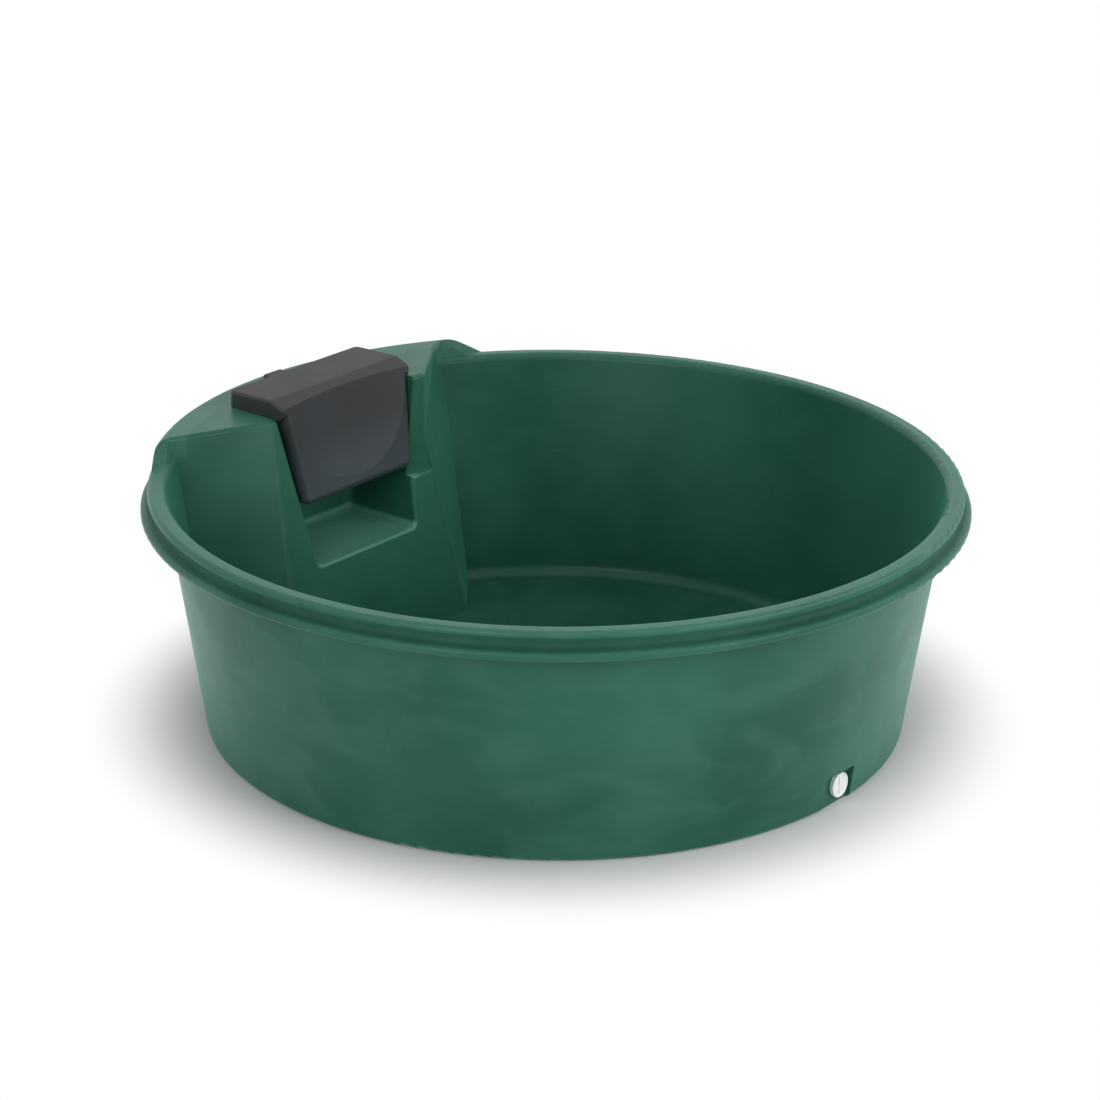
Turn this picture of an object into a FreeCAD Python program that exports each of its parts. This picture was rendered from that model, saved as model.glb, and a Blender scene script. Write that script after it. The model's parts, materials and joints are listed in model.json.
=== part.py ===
"""Round livestock drinking trough with a float-valve service box, in millimetres.

Frame: +Z up, origin at the centre of the base on the ground. The service box stands at +Y and the
drain at -Y. The tub is a conical bowl with a rolled rim. The box is a hollow block with a tapered
notch, open towards the basin, that holds the float valve under a lift-off cover.
"""
import FreeCAD
import Part
import math
import os
import Sketcher
from types import SimpleNamespace

from FreeCAD import Placement, Rotation, Vector

# Corner radius of a hexagon, as a multiple of half the width across its flats.
HEX_CORNER = 2 / 3 ** 0.5

# Driving dimensions: alias, value in mm, what it is.
SIZES = [
    ("wall_top_radius", 829.0, "outer wall radius under the rim's lip"),
    ("wall_lean", 70.0, "how far the wall leans out from the ground to the lip"),
    ("wall", 7.5, "wall thickness of the bowl and the box"),
    ("floor_wall", 8.0, "floor thickness"),
    ("base_round", 12.0, "outer rounding at the foot of the wall"),
    ("floor_round", 32.0, "inner rounding between floor and wall"),
    ("rim_height", 541.0, "top of the rim"),
    ("bead_inset", 15.0, "how far the rim's upper bead stands in from the lip"),
    ("rim_bead", 20.0, "height of the upper bead's outside below the rim top"),
    ("rim_round", 10.0, "rounding of the upper bead"),
    ("lip_overhang", 56.0, "how far the lower lip stands out from the wall's top"),
    ("rim_depth", 57.0, "height of the rim from the lip's underside to its top"),
    ("lip_band", 17.0, "height of the lower lip"),
    ("lip_round", 7.0, "rounding of the lower lip"),
    ("rim_groove", 8.0, "depth of the groove between bead and lip, from the bead"),
    ("groove_round", 12.0, "rounding of the groove above the lip"),
    ("channel_cover", 15.0, "thickness of the rim over the open channel under it"),
    ("box_rise", 39.0, "height of the service box above the rim"),
    ("raised_inset", 19.0, "how far the raised wall beside and behind the box stands in from the lip"),
    ("raised_top", 20.0, "width of the raised wall's top"),
    ("raised_lap", 1.0, "how far the box's rounding laps over the flat of the raised wall's top"),
    ("ramp_start", 2.0, "how far behind the box ends the end ramps leave the box top"),
    ("ramp_run", 44.0, "length along Y of the end ramps"),
    ("box_front_half", 228.0, "half width of the box front at the top"),
    ("box_depth", 207.0, "depth of the box at the top, from the wall's top to its front"),
    ("front_run", 30.0, "how far the slanted faces are run on before the box front cuts them"),
    ("side_depth", 112.0, "depth of the box ends at the top, from the wall's top"),
    ("foot_front_half", 282.0, "half width of the box front at the ground"),
    ("front_lean", 129.0, "how far the box front leans out to the ground"),
    ("side_lean", 101.0, "how far the box ends lean out to the ground"),
    ("box_round", 9.0, "rounding of the box's edges"),
    ("fold_round", 25.0, "rounding of the fold between box front and slanted face"),
    ("shelf", 238.0, "height of the notch's shelf"),
    ("post_top", 22.0, "width of the box front beside the notch at the top"),
    ("post_shelf", 95.8, "width of the box front beside the notch at the shelf"),
    ("notch_wall", 73.0, "from the notch's back wall to the wall's top"),
    ("notch_round", 18.0, "rounding inside the notch"),
    ("recess_floor", 350.0, "ledge under the hand recess"),
    ("recess_overlap", 8.0, "how far the hand recess reaches past the box's fold"),
    ("post_stand", 34.0, "how far the right post stands out from the box front at the top"),
    ("post_half", 242.0, "X of the right post's corner"),
    ("post_slope", 0.68, "slant of the right post's side"),
    ("post_reach", 185.0, "how far the right post's side runs on from its corner, along X"),
    ("post_round", 30.0, "rounding of the right post's corner"),
    ("recess_round", 18.0, "rounding inside the hand recess"),
    ("rim_edge_round", 16.0, "rounding of the rim's inner edge"),
    ("cavity_margin", 40.0, "how far the box's hollow ends before the box does"),
    ("channel_round", 8.0, "rounding in the channel under the rim"),
    ("channel_wall", 8.0, "wall between the rim's groove and the channel under it"),
    ("vent_radius", 5.0, "vent from the channel into the box's hollow"),
    ("vent_offset", 120.0, "X of the vent"),
    ("valve_drop", 29.0, "float valve's axis below the box top"),
    ("bay_depth", 22.0, "depth of the bay behind the notch that the valve is fixed in"),
    ("bay_half", 38.0, "half width of the valve's bay"),
    ("bay_below", 32.0, "reach of the bay below the valve's axis"),
    ("bay_above", 20.0, "reach of the bay above the valve's axis"),
    ("bay_round", 8.0, "rounding inside the valve's bay"),
    ("pocket_depth", 43.0, "depth of the inlet pocket from the lip"),
    ("pocket_half", 34.0, "half width of the inlet pocket"),
    ("pocket_half_height", 20.0, "half height of the inlet pocket"),
    ("pocket_round", 8.0, "rounding inside the inlet pocket"),
    ("tail_hole_radius", 11.0, "hole for the valve's tail"),
    ("valve_tail_reach", 42.0, "reach of the valve's tail past the inlet pocket's face"),
    ("tail_radius", 10.45, "thread radius of the valve's tail"),
    ("tail_neck_radius", 9.6, "radius of the relief between the outer nut and the free thread"),
    ("tail_neck", 3.0, "length of that relief"),
    ("waterway_radius", 5.0, "bore through the tail"),
    ("washer", 2.0, "thickness of the valve's rubber washers"),
    ("washer_radius", 15.0, "radius of the valve's rubber washers"),
    ("nut_half", 14.0, "half the width across flats of the back nuts"),
    ("nut", 8.0, "thickness of the back nuts"),
    ("barrel_radius", 13.0, "outside of the valve's barrel"),
    ("barrel_gap", 1.0, "gap between the barrel and the inner back nut"),
    ("barrel_end", 67.0, "open end of the barrel, in front of the bay's face"),
    ("piston_bore_end", 26.0, "closed end of the piston bore, in front of that face"),
    ("piston_bore_radius", 9.0, "bore for the piston"),
    ("seat", 8.8, "length of the nozzle insert with its seat"),
    ("seat_nub", 0.8, "height of the seat above the nozzle insert"),
    ("seat_radius", 4.5, "radius of the seat"),
    ("nozzle_bore_radius", 2.5, "bore of the nozzle"),
    ("pin_distance", 54.0, "lever pin in front of the bay's face"),
    ("pin_drop", 18.0, "lever pin below the valve's axis"),
    ("pin_radius", 2.0, "radius of the lever pin"),
    ("pin_head_radius", 3.4, "radius of the lever pin's heads"),
    ("pin_head", 1.5, "thickness of the lever pin's heads"),
    ("cheek", 5.0, "thickness of the cheeks that hold the lever pin"),
    ("cheek_half", 7.0, "half length of the cheeks along the valve"),
    ("cheek_end", 25.0, "lower end of the cheeks below the valve's axis"),
    ("lever_half", 3.2, "half width of the lever's hub"),
    ("hub_radius", 6.0, "radius of the lever's hub"),
    ("side_gap", 0.4, "clearance beside the lever's hub and finger"),
    ("pin_gap", 0.05, "running clearance round the lever pin and the piston"),
    ("finger_radius", 2.5, "radius of the finger that drives the piston"),
    ("finger", 15.0, "reach of the finger from the pin"),
    ("finger_slot", 8.6, "length of the slot in the piston for the finger"),
    ("piston_travel", 7.0, "travel of the piston from open to shut"),
    ("piston", 21.8, "length of the piston without its washer"),
    ("piston_washer", 2.6, "thickness of the rubber on the piston's nose"),
    ("piston_washer_radius", 7.0, "radius of the rubber on the piston's nose"),
    ("shut_gap", 0.1, "gap between rubber and seat when shut"),
    ("cap_radius", 15.5, "radius of the end cap"),
    ("cap", 4.0, "thickness of the end cap's plate"),
    ("cap_skirt", 4.5, "length of the end cap's skirt"),
    ("lever_droop", 47.0, "degrees that the lever hangs below level at rest"),
    ("lever_swing", 34.0, "degrees that the lever swings up until the valve is shut"),
    ("lever_rod_radius", 3.0, "radius of the lever's rod"),
    ("lever_length", 85.0, "length of the lever's rod from the pin"),
    ("float_distance", 68.0, "centre of the float from the pin"),
    ("float_radius", 38.0, "radius of the float"),
    ("float_nut", 6.0, "thickness of the float's lock nut"),
    ("float_nut_radius", 6.5, "radius of the float's lock nut across corners"),
    ("drain_height", 40.0, "height of the drain's axis"),
    ("niche_depth", 16.0, "depth of the drain niche at the drain's axis"),
    ("niche_left", 62.0, "reach of the drain niche to the left of the drain"),
    ("niche_right", 34.0, "reach of the drain niche to the right of the drain"),
    ("niche_top", 77.0, "top of the drain niche"),
    ("niche_round", 6.0, "rounding of the drain niche's upright corners"),
    ("bush_radius", 21.5, "outside of the drain bush's tube"),
    ("bush_bore_radius", 18.0, "bore of the drain bush"),
    ("bush_flange", 3.0, "thickness of the drain bush's flange"),
    ("drain_flange_radius", 27.0, "radius of the bush's flange and the plug's head"),
    ("drain_gasket", 1.5, "thickness of the gasket under the bush's flange"),
    ("drain_nut", 9.0, "thickness of the drain's ring nut"),
    ("drain_nut_radius", 26.0, "radius of the drain's ring nut"),
    ("bush_thread_end", 3.0, "reach of the bush past the ring nut"),
    ("plug_head", 5.0, "thickness of the plug's head"),
    ("plug_shank", 20.0, "length of the plug's shank"),
    ("plug_gap", 0.05, "running clearance round the plug's shank"),
    ("plug_seal", 1.2, "thickness of the seal under the plug's head"),
    ("plug_seal_radius", 24.0, "radius of the seal under the plug's head"),
    ("cover_lap", 5.0, "overlap of the cover's top past the notch at each side"),
    ("cover_gap", 0.3, "clearance between the cover and the box top"),
    ("cover_front_thick", 24.0, "height of the cover's top at the nose"),
    ("cover_crest", 41.0, "height of the cover's top at the crest"),
    ("cover_band", 42.0, "width of the sloping band from the nose back to the crest"),
    ("cover_back_thick", 38.0, "height of the cover's top at the back"),
    ("cover_back_lap", 12.0, "overlap of the cover's top behind the notch"),
    ("nose", 24.0, "how far the cover's front edge stands out from the box front"),
    ("nose_low", 14.0, "height of the nose's underside above the cover's foot"),
    ("nose_under", 12.0, "depth of the slope under the nose"),
    ("nose_round", 3.0, "rounding of the nose's lower edge"),
    ("grip_half", 185.0, "half width of the grip hollow under the nose"),
    ("grip_depth", 10.0, "depth of the grip hollow"),
    ("grip_rise", 10.0, "height of the grip hollow's deepest point above the box top"),
    ("cover_round", 7.0, "rounding of the edges of the cover's top"),
    ("cover_wall", 8.0, "wall thickness of the cover's top and its rim"),
    ("cover_corner", 16.0, "rounding of the corners of the cover's top"),
    ("plate_set_back", 1.0, "how far the front plate starts behind the nose"),
    ("plate_top_gap", 4.0, "gap between the front plate and each side of the notch at the box top"),
    ("plate_drop", 202.0, "reach of the front plate below the box top"),
    ("plate_low_gap", 6.2, "gap between the front plate and each side of the notch at its lower edge"),
    ("plate_proud", 16.0, "how far the front plate stands out from the box front at its lower edge"),
    ("plate_depth", 30.0, "depth of the flange round the front plate"),
    ("plate_wall", 7.0, "wall thickness of the front plate's face"),
    ("plate_flange", 10.0, "wall thickness of the flange round the front plate"),
    ("plate_round", 16.0, "rounding of the front plate's edges"),
    ("plate_corner", 20.0, "rounding of the front plate's lower corners"),
    ("tab_half", 29.0, "half width of the tab at the cover's back"),
    ("tab_inset", 8.0, "gap between the tab's end and the raised wall's inner edge"),
    ("tab_thick", 13.0, "thickness of the tab"),
    ("tab_round", 5.0, "rounding of the tab's upper edges"),
    ("rib_half", 150.0, "half width of the locating rib under the cover"),
    ("rib_thick", 8.0, "thickness of the locating rib"),
    ("rib_depth", 10.0, "depth of the locating rib below the box top"),
    ("rib_gap", 3.0, "clearance between the locating rib and the notch's back wall"),
]

# Places that follow from the sizes above, as formulas in the sheet.
PLACES = [
    ("base_radius", "wall_top_radius - wall_lean", "outer wall radius carried down to the ground"),
    ("rim_inner_radius", "base_radius + wall_lean * rim_height / lip_bottom - wall", "inner edge of the rim"),
    ("lip_radius", "wall_top_radius + lip_overhang", "outside of the lower lip"),
    ("rim_outer_radius", "lip_radius - bead_inset", "outside of the rim's upper bead"),
    ("raised_radius", "lip_radius - raised_inset", "outside of the raised wall"),
    ("raised_inner_radius", "raised_radius - raised_top", "inner edge of the raised wall at the box top"),
    ("raised_round", "raised_top + raised_lap - box_round", "rounding of the raised wall's outer top edge"),
    ("lip_bottom", "rim_height - rim_depth", "underside of the lower lip"),
    ("rim_channel_roof", "rim_height - channel_cover", "roof of the open channel under the rim"),
    ("box_top", "rim_height + box_rise", "top of the service box"),
    ("box_front", "wall_top_radius - box_depth", "Y of the box front at the top"),
    ("box_side", "wall_top_radius - side_depth", "Y of the box ends at the top"),
    ("foot_front", "box_front - front_lean", "Y of the box front at the ground"),
    ("foot_side", "box_side - side_lean", "Y of the box ends at the ground"),
    ("box_side_half", "sqrt(raised_inner_radius^2 - box_side^2)", "half width of the box at the top"),
    ("foot_side_half", "sqrt((base_radius - wall)^2 - foot_side^2)", "half width of the box at the ground"),
    ("ramp_top", "box_side + ramp_start", "Y where the end ramps leave the box top"),
    ("ramp_foot", "ramp_top - ramp_run", "Y where the end ramps meet the rim top"),
    ("front_slope", "(box_front - foot_front) / box_top", "lean of the box front"),
    ("fold_slope", "(box_front_half - foot_front_half) / box_top", "lean of the box's folds"),
    ("notch_top_half", "box_front_half - post_top", "half width of the notch at the box top"),
    ("notch_shelf_half", "foot_front_half + fold_slope * shelf - post_shelf",
     "half width of the notch's shelf"),
    ("notch_slope", "(notch_top_half - notch_shelf_half) / (box_top - shelf)", "lean of the notch's sides"),
    ("notch_back", "wall_top_radius - notch_wall", "Y of the notch's back wall"),
    ("recess_back", "box_front - post_stand", "Y of the right post's front and of the recess below it"),
    ("valve_height", "box_top - valve_drop", "height of the float valve's axis"),
    ("valve_face", "notch_back + bay_depth", "Y of the face that the valve is fixed to"),
    ("pocket_face", "lip_radius - pocket_depth", "Y of the flat face in the inlet pocket"),
    ("cover_half", "notch_top_half + cover_lap", "half width of the cover's top"),
    ("cover_back", "notch_back + cover_back_lap", "Y of the cover's back edge"),
    ("cover_nose", "box_front - nose", "Y of the nose along the cover's front edge"),
    ("plate_top_half", "notch_top_half - plate_top_gap", "half width of the front plate at the box top"),
    ("plate_low", "box_top - plate_drop", "lower edge of the front plate"),
    ("plate_low_half", "notch_shelf_half + notch_slope * (plate_low - shelf) - plate_low_gap",
     "half width of the front plate at its lower edge"),
    ("plate_low_front", "foot_front + front_slope * plate_low - plate_proud",
     "Y of the front plate's face at its lower edge"),
    ("plate_slope", "(cover_nose + plate_set_back - plate_low_front) / (box_top - plate_low)",
     "lean of the front plate"),
    ("grip_radius", "(grip_half^2 + grip_depth^2) / (2 * grip_depth)", "radius of the grip hollow's ball"),
    ("grip_stand", "(grip_radius - grip_depth) / sqrt(1 + plate_slope^2)",
     "how far the ball's centre stands in front of the plate"),
    ("tab_back", "raised_inner_radius - tab_inset", "Y of the tab's end"),
]


class Size:
    """A number together with the sheet expression it comes from."""

    def __init__(self, value, text):
        self.value = value
        self.text = text

    def __add__(self, other):
        other = as_size(other)
        return Size(self.value + other.value, f"({self.text} + {other.text})")

    def __sub__(self, other):
        other = as_size(other)
        return Size(self.value - other.value, f"({self.text} - {other.text})")

    def __mul__(self, other):
        other = as_size(other)
        return Size(self.value * other.value, f"({self.text} * {other.text})")

    def __truediv__(self, other):
        other = as_size(other)
        return Size(self.value / other.value, f"({self.text} / {other.text})")

    def __radd__(self, other):
        return as_size(other) + self

    def __rsub__(self, other):
        return as_size(other) - self

    def __rmul__(self, other):
        return as_size(other) * self

    def sine(self):
        """Sine of a size in degrees."""
        return Size(math.sin(math.radians(self.value)), f"sin({self.text} * 1 deg)")

    def cosine(self):
        """Cosine of a size in degrees."""
        return Size(math.cos(math.radians(self.value)), f"cos({self.text} * 1 deg)")

    def __neg__(self):
        return Size(-self.value, f"(0 - {self.text})")


def as_size(number):
    """Return a Size for a plain number, and a Size unchanged."""
    if isinstance(number, Size):
        return number
    return Size(float(number), repr(float(number)))


doc = FreeCAD.newDocument("trough")
sheet = doc.addObject("Spreadsheet::Sheet", "Sizes")
s = SimpleNamespace()
for row, (alias, number, meaning) in enumerate(SIZES + PLACES, start=1):
    sheet.set(f"A{row}", meaning)
    sheet.set(f"B{row}", f"={number}")
    sheet.setAlias(f"B{row}", alias)
doc.recompute()
for alias, number, meaning in SIZES + PLACES:
    setattr(s, alias, Size(float(sheet.get(alias)), f"Sizes.{alias}"))


# ---- helpers ----

def new_body(name):
    """A PartDesign body with the given label."""
    body = doc.addObject("PartDesign::Body", name)
    body.Label = name
    return body


def bind(thing, prop, size):
    """Set a property to a size and keep it bound to the sheet."""
    thing.setExpression(prop, as_size(size).text)


def sketch_on(body, name, role, lift=None):
    """An empty sketch on one of the body's origin planes, lifted along the plane's normal."""
    sketch = body.newObject("Sketcher::SketchObject", name)
    plane = [part for part in body.Origin.OriginFeatures if part.Role == role][0]
    sketch.AttachmentSupport = (plane, "")
    sketch.MapMode = "FlatFace"
    if lift is not None:
        sketch.AttachmentOffset = Placement(Vector(0, 0, as_size(lift).value), Rotation())
        bind(sketch, "AttachmentOffset.Base.z", lift)
    return sketch


def pin_point(sketch, geometry, position, x, y):
    """Dimension one point of a sketch from the origin, in both directions."""
    for kind, size in (("DistanceX", as_size(x)), ("DistanceY", as_size(y))):
        index = sketch.addConstraint(Sketcher.Constraint(kind, -1, 1, geometry, position, size.value))
        label = f"{kind}_{geometry}"
        sketch.renameConstraint(index, label)
        bind(sketch, f"Constraints.{label}", size)


def polygon(body, name, role, corners, lift=None):
    """A closed polygon sketch through (x, y) corners."""
    sketch = sketch_on(body, name, role, lift)
    points = [Vector(as_size(x).value, as_size(y).value, 0) for x, y in corners]
    count = len(points)
    for i in range(count):
        sketch.addGeometry(Part.LineSegment(points[i], points[(i + 1) % count]), False)
    for i in range(count):
        sketch.addConstraint(Sketcher.Constraint("Coincident", i, 2, (i + 1) % count, 1))
    for i, (x, y) in enumerate(corners):
        pin_point(sketch, i, 1, x, y)
    return sketch


def revolve(body, name, corners):
    """Turn a polygon of (radius, height) corners about the body's Z axis."""
    turned = body.newObject("PartDesign::Revolution", name)
    turned.Profile = polygon(body, name + "Sketch", "XZ_Plane", corners)
    turned.ReferenceAxis = (turned.Profile[0], ["V_Axis"])
    turned.Angle = 360
    doc.recompute()
    return turned


def loft(body, name, low, low_corners, high, high_corners):
    """A ruled loft between two polygons at the heights low and high."""
    lower = polygon(body, name + "Low", "XY_Plane", low_corners, low)
    upper = polygon(body, name + "High", "XY_Plane", high_corners, high)
    solid = body.newObject("PartDesign::AdditiveLoft", name)
    solid.Profile = lower
    solid.Sections = [upper]
    solid.Ruled = True
    doc.recompute()
    return solid


def pad_across(body, name, corners, half):
    """A block symmetric about X = 0 from a polygon of (Y, Z) corners."""
    pad = body.newObject("PartDesign::Pad", name)
    pad.Profile = polygon(body, name + "Sketch", "YZ_Plane", corners)
    pad.SideType = "Symmetric"
    bind(pad, "Length", 2 * half)
    doc.recompute()
    return pad


def pad_back(body, name, corners, front, back):
    """A block from Y = front to Y = back from a polygon of (X, Z) corners."""
    pad = body.newObject("PartDesign::Pad", name)
    pad.Profile = polygon(body, name + "Sketch", "XZ_Plane", corners, -as_size(front))
    pad.Reversed = True
    bind(pad, "Length", back - front)
    doc.recompute()
    return pad


def round_edges(body, name, wanted, radius):
    """Fillet the edges of the body's tip that the test function picks."""
    base = body.Tip
    names = [f"Edge{i}" for i, edge in enumerate(base.Shape.Edges, start=1) if wanted(edge)]
    fillet = body.newObject("PartDesign::Fillet", name)
    fillet.Base = (base, names)
    fillet.Radius = as_size(radius).value
    bind(fillet, "Radius", radius)
    doc.recompute()
    return fillet


def near(a, b, slack=0.01):
    """Whether two numbers are equal to within the slack."""
    return abs(a - b) < slack


def circle_at(radius, height):
    """A test for the circular edge about Z with a radius and height."""
    radius = as_size(radius).value
    height = as_size(height).value

    def wanted(edge):
        curve = edge.Curve
        if not isinstance(curve, Part.Circle):
            return False
        return near(curve.Radius, radius) and near(curve.Center.z, height)
    return wanted


def runs_back(edge):
    """Whether a straight edge runs along Y."""
    ends = edge.Vertexes
    return near(ends[0].X, ends[1].X) and near(ends[0].Z, ends[1].Z)


def boolean(kind, name, *pieces):
    """A Part boolean of the pieces: Cut takes two, MultiFuse any number."""
    result = doc.addObject(f"Part::{kind}", name)
    if kind == "MultiFuse":
        result.Shapes = list(pieces)
    else:
        result.Base = pieces[0]
        result.Tool = pieces[1]
    doc.recompute()
    return result


def along(low, high, fraction):
    """The value a fraction of the way from low to high."""
    return low + (high - low) * fraction


# ---- tub shell ----

def wall_radius(height):
    """Outer wall radius at a height."""
    return s.base_radius + (s.wall_top_radius - s.base_radius) * as_size(height) / s.lip_bottom


def outer_form():
    """The bowl as a full block: conical wall, lower lip, groove and upper bead."""
    body = new_body("outer_form")
    groove = s.rim_outer_radius - s.rim_groove
    lip_top = s.lip_bottom + s.lip_band
    groove_low = lip_top + s.rim_groove / 2
    bead_low = s.rim_height - s.rim_bead
    revolve(body, "BowlBlock", [
        (0, 0),
        (s.base_radius, 0),
        (s.wall_top_radius, s.lip_bottom),
        (s.lip_radius, s.lip_bottom),
        (s.lip_radius, lip_top),
        (groove, groove_low),
        (groove, bead_low),
        (s.rim_outer_radius, bead_low + s.rim_groove),
        (s.rim_outer_radius, s.rim_height),
        (0, s.rim_height),
    ])
    round_edges(body, "BaseRound", circle_at(s.base_radius, 0), s.base_round)
    round_edges(body, "LipTopRound", circle_at(s.lip_radius, lip_top), s.lip_round)
    round_edges(body, "LipLowRound", circle_at(s.lip_radius, s.lip_bottom), s.lip_round)
    round_edges(body, "GrooveRound", circle_at(groove, groove_low), s.groove_round)
    round_edges(body, "BeadRound", circle_at(s.rim_outer_radius, s.rim_height), s.rim_round)
    return body


def basin_form():
    """The space inside the bowl, up past the rim."""
    body = new_body("basin_form")
    above = s.box_top + s.wall
    revolve(body, "Basin", [
        (0, s.floor_wall),
        (wall_radius(s.floor_wall) - s.wall, s.floor_wall),
        (s.rim_inner_radius, s.rim_height),
        (s.rim_inner_radius, above),
        (0, above),
    ])
    foot = wall_radius(s.floor_wall) - s.wall
    round_edges(body, "FloorRound", circle_at(foot, s.floor_wall), s.floor_round)
    return body


def box_corners(height, inset, margin):
    """Plan of the slanted faces at a height, run on past the box front; back corners lie past the wall."""
    share = height / s.box_top
    front_half = fold_half(height)
    front = front_at(height)
    side_half = along(s.foot_side_half, s.box_side_half, share)
    side = along(s.foot_side, s.box_side, share)
    slope = (side - front) / (side_half - front_half)
    drawn_in = inset * (1 + slope * slope / 2)
    start_half = front_half - s.front_run / slope
    end_half = side_half - margin
    right = [
        (start_half, front - s.front_run + drawn_in),
        (end_half, front + slope * (end_half - front_half) + drawn_in),
        (end_half, s.lip_radius),
    ]
    left = [(-x, y) for x, y in reversed(right)]
    return right + left


def front_at(height):
    """Y of the box front at a height."""
    return s.foot_front + s.front_slope * height


def box_form(name, low, high, inset, margin):
    """The service box's block between two heights, drawn in by an inset."""
    sides = new_body(name + "_sides")
    loft(sides, name + "Loft", low, box_corners(low, inset, margin), high, box_corners(high, inset, margin))
    front = new_body(name + "_front")
    low_front = front_at(low) + inset
    high_front = front_at(high) + inset
    pad_across(front, name + "Front", [
        (low_front, low),
        (high_front, high),
        (s.lip_radius, high),
        (s.lip_radius, low),
    ], s.lip_radius)
    return boolean("Common", name, sides, front)


def limit_form(name):
    """What the box may fill: up to the middle of the wall, then the raised wall above the rim."""
    body = new_body(name)
    foot = 2 * s.base_round
    revolve(body, "Limit", [
        (0, 0),
        (s.base_radius - foot, 0),
        (wall_radius(foot) - s.wall / 2, foot),
        (s.wall_top_radius - s.wall / 2, s.lip_bottom),
        (s.raised_radius, s.lip_bottom + s.lip_band),
        (s.raised_radius, s.box_top),
        (0, s.box_top),
    ])
    round_edges(body, "LimitRound", circle_at(s.raised_radius, s.box_top), s.raised_round)
    return body


def cavity_limit():
    """What the box's hollow may fill."""
    body = new_body("cavity_limit")
    roof = s.box_top - s.wall
    shoulder = s.rim_height
    revolve(body, "CavityLimit", [
        (0, s.floor_wall),
        (wall_radius(s.floor_wall) - s.wall, s.floor_wall),
        (s.wall_top_radius - s.wall, s.lip_bottom),
        (s.wall_top_radius - s.wall, shoulder),
        (s.raised_radius - s.wall, shoulder + 2 * s.wall),
        (s.raised_radius - s.wall, roof),
        (0, roof),
    ])
    return body


def notch_profile(inset, over):
    """The notch seen from the front: a trapezium, grown by an inset, reaching over the box top."""
    low = s.shelf - inset
    high = s.box_top + over
    low_half = notch_half(low) + inset
    high_half = notch_half(high) + inset
    return [(-low_half, low), (low_half, low), (high_half, high), (-high_half, high)]


def notch_half(height):
    """Half width of the notch at a height."""
    return s.notch_shelf_half + s.notch_slope * (height - s.shelf)


def notch_form(name, inset, over):
    """The notch as a block, grown by an inset, open far past the box front."""
    body = new_body(name)
    pad_back(body, name + "Block", notch_profile(inset, over), s.foot_front / 2, s.notch_back + inset)
    return body


def fold_half(height):
    """Half width of the box front, up to the fold, at a height."""
    return s.foot_front_half + s.fold_slope * height


def recess_form(name, inset, over):
    """The hand recess at the right of the cover as a block, grown by an inset."""
    body = new_body(name)
    low = s.recess_floor - inset
    high = s.box_top + over
    reach = s.recess_overlap + inset
    profile = [(0, low), (fold_half(low) + reach, low), (fold_half(high) + reach, high), (0, high)]
    pad_back(body, name + "Block", profile, s.foot_front / 2, s.recess_back + inset)
    return body


def post_form():
    """The right post above the hand recess: upright in front, its corner rounded, its side slanted."""
    body = new_body("post_form")
    end = s.post_half + s.post_reach
    end_back = s.recess_back + s.post_slope * s.post_reach
    pad = body.newObject("PartDesign::Pad", "PostBlock")
    pad.Profile = polygon(body, "PostBlockSketch", "XY_Plane", [
        (0, s.recess_back),
        (s.post_half, s.recess_back),
        (end, end_back),
        (0, end_back),
    ], s.recess_floor)
    bind(pad, "Length", s.box_top - s.recess_floor)
    doc.recompute()

    def is_corner(edge):
        ends = edge.Vertexes
        return all(near(v.X, s.post_half.value) and near(v.Y, s.recess_back.value) for v in ends)
    round_edges(body, "PostRound", is_corner, s.post_round)
    return body


def ring_form():
    """The raised wall that runs on beside the box, sloping out from the rim's inner edge."""
    body = new_body("ring_form")
    low = along(s.rim_channel_roof, s.rim_height, 0.5)
    inner = s.rim_inner_radius + s.rim_round
    revolve(body, "Ring", [
        (inner, low),
        (inner, s.rim_height),
        (s.raised_inner_radius, s.box_top),
        (s.raised_radius, s.box_top),
        (s.raised_radius, low),
    ])
    round_edges(body, "RingRound", circle_at(s.raised_radius, s.box_top), s.raised_round)
    return body


def ramp_form():
    """The half space under the two end ramps, as a block."""
    body = new_body("ramp_form")
    low = s.lip_bottom + s.lip_band
    run = (s.ramp_top - s.ramp_foot) / (s.box_top - s.rim_height)
    corners = [
        (s.ramp_top - run * (s.box_top - low), low),
        (s.ramp_top, s.box_top),
        (s.lip_radius, s.box_top),
        (s.lip_radius, low),
    ]
    pad_across(body, "Ramp", corners, s.lip_radius)
    return body


def cuboid(name, x, y, z):
    """A Part::Box between (low, high) pairs of sizes."""
    block = doc.addObject("Part::Box", name)
    for prop, place, (low, high) in (("Length", "x", x), ("Width", "y", y), ("Height", "z", z)):
        bind(block, prop, as_size(high) - low)
        bind(block, f"Placement.Base.{place}", low)
    doc.recompute()
    return block


def rod_back(name, radius, x, z, front, back):
    """A Part::Cylinder along +Y at (x, z), from Y = front to Y = back."""
    rod = doc.addObject("Part::Cylinder", name)
    rod.Placement = Placement(Vector(0, 0, 0), Rotation(Vector(1, 0, 0), -90))
    bind(rod, "Radius", radius)
    bind(rod, "Height", as_size(back) - front)
    bind(rod, "Placement.Base.x", x)
    bind(rod, "Placement.Base.y", front)
    bind(rod, "Placement.Base.z", z)
    doc.recompute()
    return rod


def fillet(name, base, wanted, radius):
    """A Part::Fillet of the edges that the test function picks."""
    rounded = doc.addObject("Part::Fillet", name)
    rounded.Base = base
    radius = as_size(radius).value
    edges = enumerate(base.Shape.Edges, start=1)
    rounded.Edges = [(i, radius, radius) for i, edge in edges if wanted(edge)]
    doc.recompute()
    return rounded


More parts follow.
